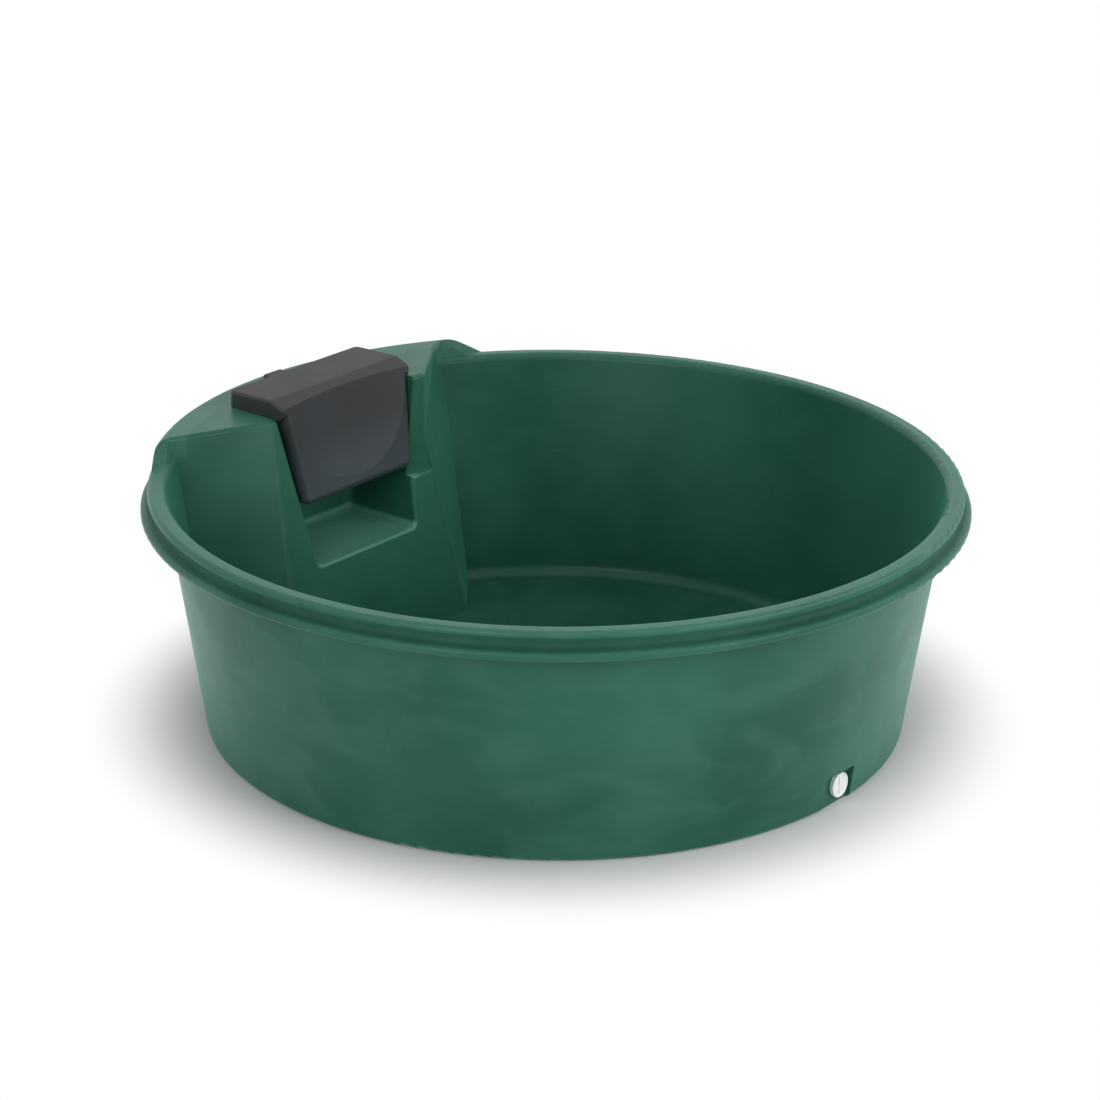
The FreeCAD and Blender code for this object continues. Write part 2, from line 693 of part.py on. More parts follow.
def bowl_block():
    """The open bowl with its rim rounded inside."""
    bowl = boolean("Cut", "bowl", outer_form(), basin_form())
    return fillet("bowl_rim", bowl, circle_at(s.rim_inner_radius, s.rim_height), s.rim_edge_round)


def rim_channel():
    """The channel under the rim, open below."""
    channel = new_body("channel_form")
    inside = s.wall_top_radius + s.wall
    outside = s.rim_outer_radius - s.rim_groove - s.channel_wall
    low = s.lip_bottom - s.wall
    revolve(channel, "Channel", [
        (inside, low),
        (outside, low),
        (outside, s.rim_channel_roof),
        (inside, s.rim_channel_roof),
    ])
    round_edges(channel, "ChannelRound", circle_at(outside, s.rim_channel_roof), s.channel_round)
    round_edges(channel, "ChannelRoundIn", circle_at(inside, s.rim_channel_roof), s.channel_round)
    return channel


def is_fold(edge):
    """Whether an edge is one of the folds between the box front and the slanted faces."""
    heights = sorted(vertex.Z for vertex in edge.Vertexes)
    if len(heights) < 2 or heights[1] - heights[0] < s.box_top.value - 1:
        return False
    return all(abs(vertex.X) < s.foot_front_half.value + 1 for vertex in edge.Vertexes)


def is_rounded_box_edge(edge):
    """Whether an edge of the cut box is at the notch's mouth, the ledge's front or the box top."""
    ends = [(vertex.X, vertex.Y, vertex.Z) for vertex in edge.Vertexes]
    if len(ends) < 2:
        return False
    top = s.box_top.value
    side_x = s.box_side_half.value
    on_top = all(near(z, top) for x, y, z in ends)
    if on_top:
        outer_arc = all(near(abs(x), side_x, 1) for x, y, z in ends)
        return not outer_arc
    reach = fold_half(s.recess_floor).value + s.recess_overlap.value

    def in_front(x, y, z):
        return y < front_at(z).value + s.recess_overlap.value

    def at_mouth(x, y, z):
        post_face = s.recess_floor.value + 1 < z < top - 1
        return abs(x) < reach + 1 and z > s.shelf.value - 1 and not post_face
    return all(in_front(*end) and at_mouth(*end) for end in ends)


def box_block():
    """The service box with the notch and the hand recess, its edges rounded."""
    zero = as_size(0)
    block = box_form("box_form", zero, s.box_top, zero, zero)
    block = fillet("box_folded", block, is_fold, s.fold_round)
    block = boolean("Common", "box_block", block, limit_form("limit_form"))
    block = boolean("MultiFuse", "box_posted", block, post_form())
    over = s.wall
    top = (s.box_top + over).value
    front = s.foot_front.value
    notch = notch_form("notch_form", zero, over)

    def inside_notch(edge):
        ends = edge.Vertexes
        return not all(near(v.Z, top) for v in ends) and not all(v.Y < front for v in ends)
    round_edges(notch, "NotchRound", inside_notch, s.notch_round)
    recess = recess_form("recess_form", zero, over)

    def inside_recess(edge):
        ends = edge.Vertexes
        upright = abs(ends[0].Z - ends[1].Z) > over.value
        return upright and all(v.X > over.value and v.Y > front for v in ends)
    round_edges(recess, "RecessRound", inside_recess, s.recess_round)
    block = boolean("Cut", "box_notched", block, notch)
    block = boolean("Cut", "box_recessed", block, recess)
    return fillet("box_rounded", block, is_rounded_box_edge, s.box_round)


def box_hollow():
    """The hollow inside the box, which leaves a wall round the notch and a block for the valve."""
    low = s.floor_wall
    high = s.box_top - s.wall
    hollow = box_form("hollow_form", low, high, s.wall, s.cavity_margin)
    hollow = boolean("Common", "hollow_block", hollow, cavity_limit())
    hollow = boolean("Cut", "hollow_notched", hollow, notch_form("notch_skin", s.wall, s.wall))
    hollow = boolean("Cut", "hollow_recessed", hollow, recess_form("recess_skin", s.wall, s.wall))
    side = s.bay_half + s.wall
    boss = cuboid("valve_boss", (-side, side), (s.notch_back, s.lip_radius),
                  (s.valve_height - s.bay_below - s.wall, s.box_top))
    return boolean("Cut", "box_hollow", hollow, boss)


def valve_bay():
    """The bay behind the notch where the valve is fixed."""
    bay = cuboid("bay_block", (-s.bay_half, s.bay_half), (s.notch_back - s.wall, s.valve_face),
                 (s.valve_height - s.bay_below, s.valve_height + s.bay_above))
    return fillet("valve_bay", bay, runs_back, s.bay_round)


def inlet_pocket():
    """The flat-faced pocket in the raised wall where the inlet pipe is joined."""
    pocket = cuboid("pocket_block", (-s.pocket_half, s.pocket_half), (s.pocket_face, s.lip_radius + s.wall),
                    (s.valve_height - s.pocket_half_height, s.valve_height + s.pocket_half_height))
    return fillet("inlet_pocket", pocket, runs_back, s.pocket_round)


def drain_face():
    """Distance of the drain niche's flat face from the tub's axis."""
    return wall_radius(s.drain_height) - s.niche_depth


def drain_boss():
    """The thickened wall behind the drain niche, within the bowl's wall."""
    block = cuboid("drain_block", (-s.niche_left - s.wall, s.niche_right + s.wall),
                   (-s.lip_radius, s.wall - drain_face()), (s.floor_wall / 2, s.niche_top + s.wall))
    return boolean("Common", "drain_boss", block, limit_form("drain_limit"))


def drain_niche():
    """The flat-faced niche, open at the foot of the wall."""
    block = cuboid("niche_block", (-s.niche_left, s.niche_right), (-s.lip_radius, -drain_face()),
                   (-s.wall, s.niche_top))
    face = -drain_face().value

    def wanted(edge):
        ends = edge.Vertexes
        inner_upright = all(near(v.Y, face) for v in ends) and abs(ends[0].Z - ends[1].Z) > 1
        upper_side = all(v.Z > 0 for v in ends) and abs(ends[0].Y - ends[1].Y) > 1
        return inner_upright or upper_side
    return fillet("drain_niche", block, wanted, s.niche_round)


def tub_shell():
    """The whole moulding: bowl, hollow box, raised wall, inlet pocket, drain niche and holes."""
    ring = boolean("Common", "raised_ring", ring_form(), ramp_form())
    tub = boolean("MultiFuse", "tub_fused", bowl_block(), box_block(), ring, drain_boss())
    vent_low = s.rim_channel_roof - s.wall
    vent_high = s.rim_height + 2 * s.wall
    vent = doc.addObject("Part::Cylinder", "vent")
    bind(vent, "Radius", s.vent_radius)
    bind(vent, "Height", vent_high - vent_low)
    bind(vent, "Placement.Base.x", s.vent_offset)
    bind(vent, "Placement.Base.y", s.wall_top_radius + s.wall + s.vent_radius)
    bind(vent, "Placement.Base.z", vent_low)
    tail_hole = rod_back("tail_hole", s.tail_hole_radius, 0, s.valve_height,
                         s.valve_face - s.wall, s.lip_radius)
    bush_hole = rod_back("bush_hole", s.bush_radius, 0, s.drain_height,
                         -s.base_radius, s.niche_depth - drain_face() + s.wall)
    spaces = boolean("MultiFuse", "tub_spaces", box_hollow(), valve_bay(), inlet_pocket(), drain_niche(),
                     rim_channel(), vent, tail_hole, bush_hole)
    return boolean("Cut", "tub_shell", tub, spaces)


# ---- float valve: bodies stand on the bay's face, their Z axis pointing out through it ----

def face_back(thing, x, y, z):
    """Turn a body's Z axis to +Y and put its origin at (x, y, z)."""
    thing.Placement = Placement(Vector(0, 0, 0), Rotation(Vector(1, 0, 0), -90))
    bind(thing, "Placement.Base.x", x)
    bind(thing, "Placement.Base.y", y)
    bind(thing, "Placement.Base.z", z)


def turned_part(name, corners, y, z):
    """A body turned about a horizontal axis along Y at X = 0."""
    body = new_body(name)
    revolve(body, name + "Turned", corners)
    face_back(body, 0, y, z)
    doc.recompute()
    return body


def pocket_through(body, name, sketch, half):
    """A pocket that cuts both ways from its sketch plane."""
    pocket = body.newObject("PartDesign::Pocket", name)
    pocket.Profile = sketch
    pocket.SideType = "Symmetric"
    bind(pocket, "Length", 2 * half)
    doc.recompute()
    return pocket


def rectangle(low_x, high_x, low_y, high_y):
    """Corners of a rectangle."""
    return [(low_x, low_y), (high_x, low_y), (high_x, high_y), (low_x, high_y)]


def valve_body():
    """Brass body: tail through the wall, barrel with the piston bore, cheeks for the lever pin."""
    body = new_body("valve_body")
    shoulder = s.washer + s.nut + s.barrel_gap
    pocket = s.pocket_face - s.valve_face
    neck = pocket + s.washer + s.nut
    tail_end = pocket + s.valve_tail_reach
    revolve(body, "BodyTurned", [
        (s.waterway_radius, tail_end),
        (s.tail_radius, tail_end),
        (s.tail_radius, neck + s.tail_neck),
        (s.tail_neck_radius, neck + s.tail_neck),
        (s.tail_neck_radius, neck),
        (s.tail_radius, neck),
        (s.tail_radius, -shoulder),
        (s.barrel_radius, -shoulder),
        (s.barrel_radius, -s.barrel_end),
        (s.piston_bore_radius, -s.barrel_end),
        (s.piston_bore_radius, -s.piston_bore_end),
        (s.waterway_radius, -s.piston_bore_end),
    ])
    slot_half = s.lever_half + s.side_gap
    cheeks = body.newObject("PartDesign::Pad", "Cheeks")
    low = -s.pin_distance - s.cheek_half
    high = -s.pin_distance + s.cheek_half
    cheek_start = along(s.piston_bore_radius, s.barrel_radius, 0.25)
    cheeks.Profile = polygon(body, "CheekSketch", "YZ_Plane", rectangle(cheek_start, s.cheek_end, low, high))
    cheeks.SideType = "Symmetric"
    bind(cheeks, "Length", 2 * (slot_half + s.cheek))
    doc.recompute()
    slot = polygon(body, "SlotSketch", "YZ_Plane",
                   rectangle(0, s.cheek_end + s.cheek, low - s.side_gap, high + s.side_gap))
    pocket_through(body, "Slot", slot, slot_half)
    hole = sketch_on(body, "PinHoleSketch", "YZ_Plane")
    hole.addGeometry(Part.Circle(Vector(s.pin_drop.value, -s.pin_distance.value, 0), Vector(0, 0, 1),
                                 s.pin_radius.value), False)
    pin_point(hole, 0, 3, s.pin_drop, -s.pin_distance)
    index = hole.addConstraint(Sketcher.Constraint("Radius", 0, s.pin_radius.value))
    hole.renameConstraint(index, "PinRadius")
    bind(hole, "Constraints.PinRadius", s.pin_radius)
    pocket_through(body, "PinHole", hole, slot_half + 2 * s.cheek)
    face_back(body, 0, s.valve_face, s.valve_height)
    doc.recompute()
    return body


def ring_part(name, inner, outer, thick, y, z):
    """A flat ring whose near face lies at Y = y."""
    return turned_part(name, rectangle(inner, outer, 0, thick), y, z)


def hex_nut(name, hole, half_flats, thick, y, z):
    """A hexagon nut whose near face lies at Y = y."""
    corner = half_flats * HEX_CORNER
    body = new_body(name)
    pad = body.newObject("PartDesign::Pad", name + "Pad")
    pad.Profile = polygon(body, name + "Hexagon", "XY_Plane", [
        (corner, 0),
        (corner / 2, half_flats),
        (-corner / 2, half_flats),
        (-corner, 0),
        (-corner / 2, -half_flats),
        (corner / 2, -half_flats),
    ])
    bind(pad, "Length", thick)
    doc.recompute()
    bore = sketch_on(body, name + "Bore", "XY_Plane")
    bore.addGeometry(Part.Circle(Vector(0, 0, 0), Vector(0, 0, 1), as_size(hole).value), False)
    bore.addConstraint(Sketcher.Constraint("Coincident", 0, 3, -1, 1))
    index = bore.addConstraint(Sketcher.Constraint("Radius", 0, as_size(hole).value))
    bore.renameConstraint(index, "BoreRadius")
    bind(bore, "Constraints.BoreRadius", hole)
    pocket_through(body, name + "Hole", bore, 2 * thick)
    face_back(body, 0, y, z)
    doc.recompute()
    return body


def valve_nozzle():
    """Nylon insert in the closed end of the piston bore, with a raised seat."""
    top = -s.piston_bore_end
    return turned_part("valve_nozzle", [
        (s.nozzle_bore_radius, top),
        (s.piston_bore_radius, top),
        (s.piston_bore_radius, top - s.seat + s.seat_nub),
        (s.seat_radius, top - s.seat + s.seat_nub),
        (s.seat_radius, top - s.seat),
        (s.nozzle_bore_radius, top - s.seat),
    ], s.valve_face, s.valve_height)


def piston_nose():
    """Distance of the piston rubber's face in front of the bay's face, at rest."""
    return s.piston_bore_end + s.seat + s.shut_gap + s.piston_travel


def valve_piston():
    """Piston with a slot below for the lever's finger."""
    body = new_body("valve_piston")
    nose = -(piston_nose() + s.piston_washer)
    revolve(body, "PistonTurned", [
        (0, nose),
        (s.piston_bore_radius - s.pin_gap, nose),
        (s.piston_bore_radius - s.pin_gap, nose - s.piston),
        (0, nose - s.piston),
    ])
    middle = -(s.pin_distance + s.piston_travel / 2)
    tip = s.pin_drop - s.finger
    slot = polygon(body, "FingerSlot", "YZ_Plane",
                   rectangle(tip / 2, 2 * s.piston_bore_radius, middle - s.finger_slot / 2,
                             middle + s.finger_slot / 2))
    pocket_through(body, "FingerSlotCut", slot, s.finger_radius + s.side_gap)
    face_back(body, 0, s.valve_face, s.valve_height)
    doc.recompute()
    return body


def end_cap():
    """Cap over the barrel's open end."""
    inner = -s.barrel_end
    return turned_part("valve_end_cap", [
        (0, inner - s.cap),
        (s.cap_radius, inner - s.cap),
        (s.cap_radius, inner + s.cap_skirt),
        (s.barrel_radius, inner + s.cap_skirt),
        (s.barrel_radius, inner),
        (0, inner),
    ], s.valve_face, s.valve_height)


# ---- lever and float, placed about the lever pin ----

def pin_y():
    """Y of the lever pin."""
    return s.valve_face - s.pin_distance


def pin_z():
    """Height of the lever pin."""
    return s.valve_height - s.pin_drop


def tilted(thing, angle, distance):
    """Tilt a primitive's Z axis about X by an angle and move it that far along it from the pin."""
    thing.Placement = Placement(Vector(0, 0, 0), Rotation(Vector(1, 0, 0), angle.value))
    bind_angle(thing, angle)
    bind(thing, "Placement.Base.x", 0)
    bind(thing, "Placement.Base.y", pin_y() - as_size(distance) * angle.sine())
    bind(thing, "Placement.Base.z", pin_z() + as_size(distance) * angle.cosine())


def bind_angle(thing, angle):
    """Keep a primitive's turn about its axis bound to a size in degrees."""
    thing.setExpression("Placement.Rotation.Angle", f"{angle.text} * 1 deg")


def arm_angle():
    """Tilt of the lever's rod at rest, from straight up towards -Y."""
    return 90 + s.lever_droop


def tilted_rod(name, radius, angle, start, length):
    """A cylinder that leaves the pin at an angle."""
    rod = doc.addObject("Part::Cylinder", name)
    bind(rod, "Radius", radius)
    bind(rod, "Height", length)
    tilted(rod, angle, start)
    doc.recompute()
    return rod


def rod_across(name, radius, half, x=0):
    """A cylinder along X through the lever pin's axis."""
    rod = doc.addObject("Part::Cylinder", name)
    rod.Placement = Placement(Vector(0, 0, 0), Rotation(Vector(0, 1, 0), 90))
    bind(rod, "Radius", radius)
    bind(rod, "Height", 2 * half)
    bind(rod, "Placement.Base.x", as_size(x) - half)
    bind(rod, "Placement.Base.y", pin_y())
    bind(rod, "Placement.Base.z", pin_z())
    doc.recompute()
    return rod


def float_lever():
    """Hub on the pin, rod down to the float, finger up into the piston."""
    hub = rod_across("lever_hub", s.hub_radius, s.lever_half)
    rod = tilted_rod("lever_rod", s.lever_rod_radius, arm_angle(), 0, s.lever_length)
    finger = tilted_rod("lever_finger", s.finger_radius, s.lever_swing / 2, 0, s.finger)
    bore = rod_across("lever_bore", s.pin_radius + s.pin_gap, 2 * s.lever_half)
    solid = boolean("MultiFuse", "lever_solid", hub, rod, finger)
    return boolean("Cut", "float_lever", solid, bore)


def lever_pin():
    """Pin through the cheeks, with a head at each end."""
    half = s.lever_half + s.side_gap + s.cheek
    shaft = rod_across("pin_shaft", s.pin_radius, half + s.pin_head)
    heads = [
        rod_across(f"pin_head_{side}", s.pin_head_radius, s.pin_head / 2, sign * (half + s.pin_head / 2))
        for side, sign in (("right", 1), ("left", -1))
    ]
    return boolean("MultiFuse", "lever_pin", shaft, *heads)


def float_ball():
    """Float with a blind hole for the lever's rod."""
    ball = doc.addObject("Part::Sphere", "float_sphere")
    bind(ball, "Radius", s.float_radius)
    tilted(ball, arm_angle(), s.float_distance)
    start = s.float_distance - 2 * s.float_radius
    hole = tilted_rod("float_hole", s.lever_rod_radius, arm_angle(), start, s.lever_length - start)
    return boolean("Cut", "float_ball", ball, hole)


def float_nut():
    """Hexagon lock nut against the float, on the lever's rod."""
    nut = doc.addObject("Part::Prism", "float_hexagon")
    nut.Polygon = 6
    bind(nut, "Circumradius", s.float_nut_radius)
    bind(nut, "Height", s.float_nut)
    start = s.float_distance - s.float_radius - s.float_nut
    tilted(nut, arm_angle(), start)
    hole = tilted_rod("float_nut_hole", s.lever_rod_radius, arm_angle(), 0, s.float_distance)
    return boolean("Cut", "float_nut", nut, hole)


# ---- drain ----

def drain_part(name, corners):
    """A part turned about the drain's axis; heights run inwards from the niche's flat face."""
    return turned_part(name, corners, -drain_face(), s.drain_height)


def drain_bush():
    """Bush through the wall, its flange outside over a gasket."""
    flange_back = -s.drain_gasket
    flange_front = flange_back - s.bush_flange
    end = s.wall + s.drain_nut + s.bush_thread_end
    return drain_part("drain_bush", [
        (s.bush_bore_radius, flange_front),
        (s.drain_flange_radius, flange_front),
        (s.drain_flange_radius, flange_back),
        (s.bush_radius, flange_back),
        (s.bush_radius, end),
        (s.bush_bore_radius, end),
    ])


def drain_plug():
    """Plug with a flat head, pushed or screwed into the bush."""
    seat = -s.drain_gasket - s.bush_flange - s.plug_seal
    shank = s.bush_bore_radius - s.plug_gap
    return drain_part("drain_plug", [
        (0, seat - s.plug_head),
        (s.drain_flange_radius, seat - s.plug_head),
        (s.drain_flange_radius, seat),
        (shank, seat),
        (shank, seat + s.plug_shank),
        (0, seat + s.plug_shank),
    ])


# ---- service cover ----

def service_cover():
    """L-shaped cover: hollow top with a nose, leaning front plate, tab behind, locating rib below."""
    low = s.box_top + s.cover_gap
    joint = low + s.cover_front_thick - s.cover_wall / 2
    tab = cuboid("cover_tab", (-s.tab_half, s.tab_half), (s.cover_back - s.tab_thick, s.tab_back),
                 (low, low + s.tab_thick))
    tab = fillet("tab_corners", tab, is_upright, s.cover_round)
    tab = fillet("tab_edges", tab, all_above(low + s.tab_thick), s.tab_round)
    rib_back = s.notch_back - s.rib_gap
    rib = cuboid("cover_rib", (-s.rib_half, s.rib_half), (rib_back - s.rib_thick, rib_back),
                 (s.box_top - s.rib_depth, low + s.cover_back_thick - s.cover_wall / 2))
    cover = boolean("MultiFuse", "cover_joined", cover_top(low), tab, rib, cover_plate(joint))
    return boolean("Cut", "service_cover", cover, grip_ball("grip_ball", as_size(0)))


def grip_ball(name, inset):
    """The ball that hollows the grip under the nose, grown by an inset."""
    height = s.box_top + s.grip_rise
    ball = doc.addObject("Part::Sphere", name)
    bind(ball, "Radius", s.grip_radius + inset)
    bind(ball, "Placement.Base.y", plate_face(height) - s.grip_stand)
    bind(ball, "Placement.Base.z", height + s.grip_stand * s.plate_slope)
    doc.recompute()
    return ball


def cover_top(low):
    """The cover's top: a low crest with a sloping band down to the nose, hollow from below."""
    slab = new_body("cover_slab")
    pad_across(slab, "CoverSlab", [
        (s.cover_nose + s.nose_under, low),
        (s.cover_back, low),
        (s.cover_back, low + s.cover_back_thick),
        (s.cover_nose + s.cover_band, low + s.cover_crest),
        (s.cover_nose, low + s.cover_front_thick),
        (s.cover_nose, low + s.nose_low),
    ], s.cover_half)
    slab = fillet("cover_corners", slab, is_upright, s.cover_corner)
    slab = fillet("cover_edges", slab, all_above(low + s.nose_low + s.nose_round), s.cover_round)
    slab = fillet("cover_nose_edge", slab, is_nose_edge, s.nose_round)
    hollow = new_body("cover_hollow")
    front = s.cover_nose + s.cover_wall + s.plate_wall
    band_slope = (s.cover_crest - s.cover_front_thick) / s.cover_band
    roof = low - s.cover_wall
    pad_across(hollow, "CoverHollow", [
        (front, low - s.cover_wall),
        (s.cover_back - s.cover_wall, low - s.cover_wall),
        (s.cover_back - s.cover_wall, roof + s.cover_back_thick),
        (s.cover_nose + s.cover_band, roof + s.cover_crest),
        (front, roof + s.cover_front_thick + band_slope * (s.cover_wall + s.plate_wall)),
    ], s.cover_half - s.cover_wall)
    hollow = boolean("Cut", "cover_space", hollow, grip_ball("grip_skin_top", s.cover_wall))
    return boolean("Cut", "cover_top", slab, hollow)


def is_upright(edge):
    """Whether an edge is a straight upright line."""
    ends = edge.Vertexes
    return near(ends[0].X, ends[1].X) and near(ends[0].Y, ends[1].Y)


def all_above(height):
    """A test for edges whose ends are all at or above a height."""
    limit = as_size(height).value - 0.01

    def wanted(edge):
        return all(vertex.Z > limit for vertex in edge.Vertexes)
    return wanted


def is_nose_edge(edge):
    """Whether an edge runs along the nose's lower edge."""
    low = (s.box_top + s.cover_gap + s.nose_low).value
    return all(near(vertex.Z, low) and near(vertex.Y, s.cover_nose.value) for vertex in edge.Vertexes)


def is_plate_corner(edge):
    """Whether an edge runs through the plate's thickness at its lower corners."""
    ends = edge.Vertexes
    low = all(near(vertex.Z, s.plate_low.value) for vertex in ends)
    return low and near(ends[0].X, ends[1].X)


def is_plate_edge(edge):
    """Whether an edge outlines the plate's outer face at its sides and below."""
    high = (s.box_top + s.cover_gap + s.cover_front_thick - s.cover_wall / 2).value
    on_face = all(near(vertex.Y, plate_face(vertex.Z).value, 0.1) for vertex in edge.Vertexes)
    return on_face and not all(near(vertex.Z, high) for vertex in edge.Vertexes)


def plate_face(height):
    """Y of the front plate's face at a height."""
    return s.plate_low_front + s.plate_slope * (height - s.plate_low)


def plate_block(name, inset, sides, low, high, back):
    """The front plate as a block: drawn in behind its face and from its sides, down to a height."""
    flare = (s.plate_top_half - s.plate_low_half) / (s.box_top - s.plate_low)
    face_low = plate_face(low) + inset
    face_high = plate_face(high) + inset
    half_low = s.plate_low_half + flare * (low - s.plate_low) - sides
    half_high = s.plate_low_half + flare * (high - s.plate_low) - sides
    slab = new_body(name + "_slab")
    pad_across(slab, name + "Slab", [
        (face_low, low),
        (face_low + back, low),
        (face_high + back, high),
        (face_high, high),
    ], s.cover_half)
    outline = new_body(name + "_outline")
    pad_back(outline, name + "Outline", [
        (-half_low, low),
        (half_low, low),
        (half_high, high),
        (-half_high, high),
    ], s.foot_front, s.cover_back)
    return boolean("Common", name, slab, outline)


def cover_plate(high):
    """The front plate: a leaning face with rounded edges and a flange behind it."""
    zero = as_size(0)
    plate = plate_block("plate_block", zero, zero, s.plate_low, high, s.plate_depth)
    plate = fillet("plate_corners", plate, is_plate_corner, s.plate_corner)
    plate = fillet("plate_edges", plate, is_plate_edge, s.plate_round)
    inside = plate_block("plate_inside", s.plate_wall, s.plate_flange, s.plate_low + s.plate_flange,
                         high + s.plate_wall, s.plate_depth)
    inside = boolean("Cut", "plate_space", inside, grip_ball("grip_skin_plate", s.plate_wall))
    return boolean("Cut", "cover_plate", plate, inside)


def valve_rings():
    """Washers and back nuts on both sides of the wall, and the rubber on the piston's nose."""
    hole = s.tail_radius + s.pin_gap
    inner = s.valve_face - s.washer
    outer = s.pocket_face + s.washer
    return [
        ring_part("valve_inner_washer", hole, s.washer_radius, s.washer, inner, s.valve_height),
        hex_nut("valve_inner_nut", hole, s.nut_half, s.nut, inner - s.nut, s.valve_height),
        ring_part("valve_outer_washer", hole, s.washer_radius, s.washer, s.pocket_face, s.valve_height),
        hex_nut("valve_outer_nut", hole, s.nut_half, s.nut, outer, s.valve_height),
        ring_part("piston_rubber", 0, s.piston_washer_radius, s.piston_washer,
                  s.valve_face - piston_nose() - s.piston_washer, s.valve_height),
    ]


def drain_rings():
    """Gasket and ring nut of the drain bush, and the seal under the plug's head."""
    face = -drain_face()
    gasket = face - s.drain_gasket
    seal = gasket - s.bush_flange - s.plug_seal
    return [
        ring_part("drain_seal_ring", s.bush_radius, s.drain_flange_radius, s.drain_gasket, gasket,
                  s.drain_height),
        ring_part("drain_ring_nut", s.bush_radius, s.drain_nut_radius, s.drain_nut, face + s.wall,
                  s.drain_height),
        ring_part("plug_seal_ring", s.bush_bore_radius, s.plug_seal_radius, s.plug_seal, seal,
                  s.drain_height),
    ]


nodes = [tub_shell(), valve_body(), valve_nozzle(), valve_piston(), end_cap(), *valve_rings(),
         float_lever(), lever_pin(), float_ball(), float_nut(),
         drain_bush(), drain_plug(), *drain_rings(), service_cover()]

os.makedirs("parts", exist_ok=True)
for thing in doc.Objects:
    if "Invalid" in thing.State or "Error" in thing.State:
        raise RuntimeError(f"{thing.Name} failed: {thing.State}")
for node in nodes:
    shape = node.Shape
    if shape.isNull() or not shape.isValid():
        raise RuntimeError(f"{node.Label} has no valid shape")
    shape.exportStep(f"parts/{node.Label}.step")
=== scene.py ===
"""Looks and stage of a round livestock trough: tub with a service box, cover, float valve and drain."""

import json

import bmesh
import bpy
import numpy as np
from bpy.props import FloatProperty, FloatVectorProperty, IntProperty, PointerProperty
from bpy.types import Operator, Panel, PropertyGroup
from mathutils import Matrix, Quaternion, Vector


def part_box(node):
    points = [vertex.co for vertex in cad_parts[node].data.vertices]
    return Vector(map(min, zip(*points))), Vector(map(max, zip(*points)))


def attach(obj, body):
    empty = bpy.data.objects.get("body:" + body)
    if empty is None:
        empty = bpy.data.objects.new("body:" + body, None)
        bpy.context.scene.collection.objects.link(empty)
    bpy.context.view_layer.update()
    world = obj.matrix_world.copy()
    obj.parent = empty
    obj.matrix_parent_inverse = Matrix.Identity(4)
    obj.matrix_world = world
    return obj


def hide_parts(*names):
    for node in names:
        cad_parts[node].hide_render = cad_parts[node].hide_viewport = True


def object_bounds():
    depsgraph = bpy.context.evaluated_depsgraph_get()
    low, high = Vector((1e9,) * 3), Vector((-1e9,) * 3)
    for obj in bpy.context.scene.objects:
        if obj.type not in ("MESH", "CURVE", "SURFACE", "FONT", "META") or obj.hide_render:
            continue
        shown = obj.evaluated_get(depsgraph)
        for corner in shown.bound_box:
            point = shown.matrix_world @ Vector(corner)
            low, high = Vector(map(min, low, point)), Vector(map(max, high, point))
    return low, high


bl_info = {
    "name": "Livestock trough",
    "version": (1, 0, 0),
    "blender": (4, 5, 0),
    "location": "3D View > Sidebar > Trough",
    "description": "Finishes the pieces of a livestock trough and sets up its studio",
    "category": "Object",
}

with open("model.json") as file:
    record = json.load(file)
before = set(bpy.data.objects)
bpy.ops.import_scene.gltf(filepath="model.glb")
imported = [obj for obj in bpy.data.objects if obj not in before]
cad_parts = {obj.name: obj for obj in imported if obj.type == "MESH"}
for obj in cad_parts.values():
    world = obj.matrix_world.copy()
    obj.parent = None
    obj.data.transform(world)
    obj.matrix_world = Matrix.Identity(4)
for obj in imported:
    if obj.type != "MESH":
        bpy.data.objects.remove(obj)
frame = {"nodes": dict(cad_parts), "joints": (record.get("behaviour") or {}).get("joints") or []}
CAD_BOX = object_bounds()
TURN = 2 * np.pi


# ---- reading the frame ----

def points_in(mesh):
    """All points of a mesh as an array of rows (x, y, z)."""
    flat = np.empty(len(mesh.vertices) * 3, np.float32)
    mesh.vertices.foreach_get("co", flat)
    return flat.reshape(-1, 3).astype(float)


def points_of(node):
    """All points of a CAD node."""
    return points_in(frame["nodes"][node].data)


class Rod:
    """A line to turn things about: where it starts, its direction, and two directions across it."""

    def __init__(self, start, along, across=(1, 0, 0)):
        self.start = np.array(start, float)
        self.along = np.array(along, float) / np.linalg.norm(along)
        self.across = np.array(across, float)
        self.side = np.cross(self.along, self.across)

    def find(self, points):
        """Distance from the line and place on it, for each point."""
        away = points - self.start
        return np.hypot(away @ self.across, away @ self.side), away @ self.along

    def measure(self, node):
        """Nearest and farthest distance of a node's points from the line, and its first and last place."""
        distance, place = self.find(points_of(node))
        return distance.min(), distance.max(), place.min(), place.max()

    def first_at(self, node, radius, slack=1e-4):
        """First place on the line where a node has points at a radius."""
        distance, place = self.find(points_of(node))
        return place[np.abs(distance - radius) < slack].min()

    def sweep(self, radius, place, turn):
        """Points at a radius, a place along the line and an angle: start + place times the direction
        + radius times (cos angle across + sin angle sideways)."""
        radius, place, turn = np.broadcast_arrays(radius, place, turn)
        ring = np.cos(turn)[..., None] * self.across + np.sin(turn)[..., None] * self.side
        return self.start + place[..., None] * self.along + radius[..., None] * ring


def middle(node):
    """Middle of a CAD node's box."""
    low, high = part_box(node)
    return np.array((low + high) / 2)


def joint_place(name):
    """Where a joint's axis passes."""
    found = [joint for joint in frame["joints"] if joint["name"] == name]
    return np.array(found[0]["pos_m"], float)


# ---- shapes ----

def angles(count):
    """Angles once round, as a row, without the last one, which is the first."""
    return np.linspace(0, TURN, count, endpoint=False)[None, :]


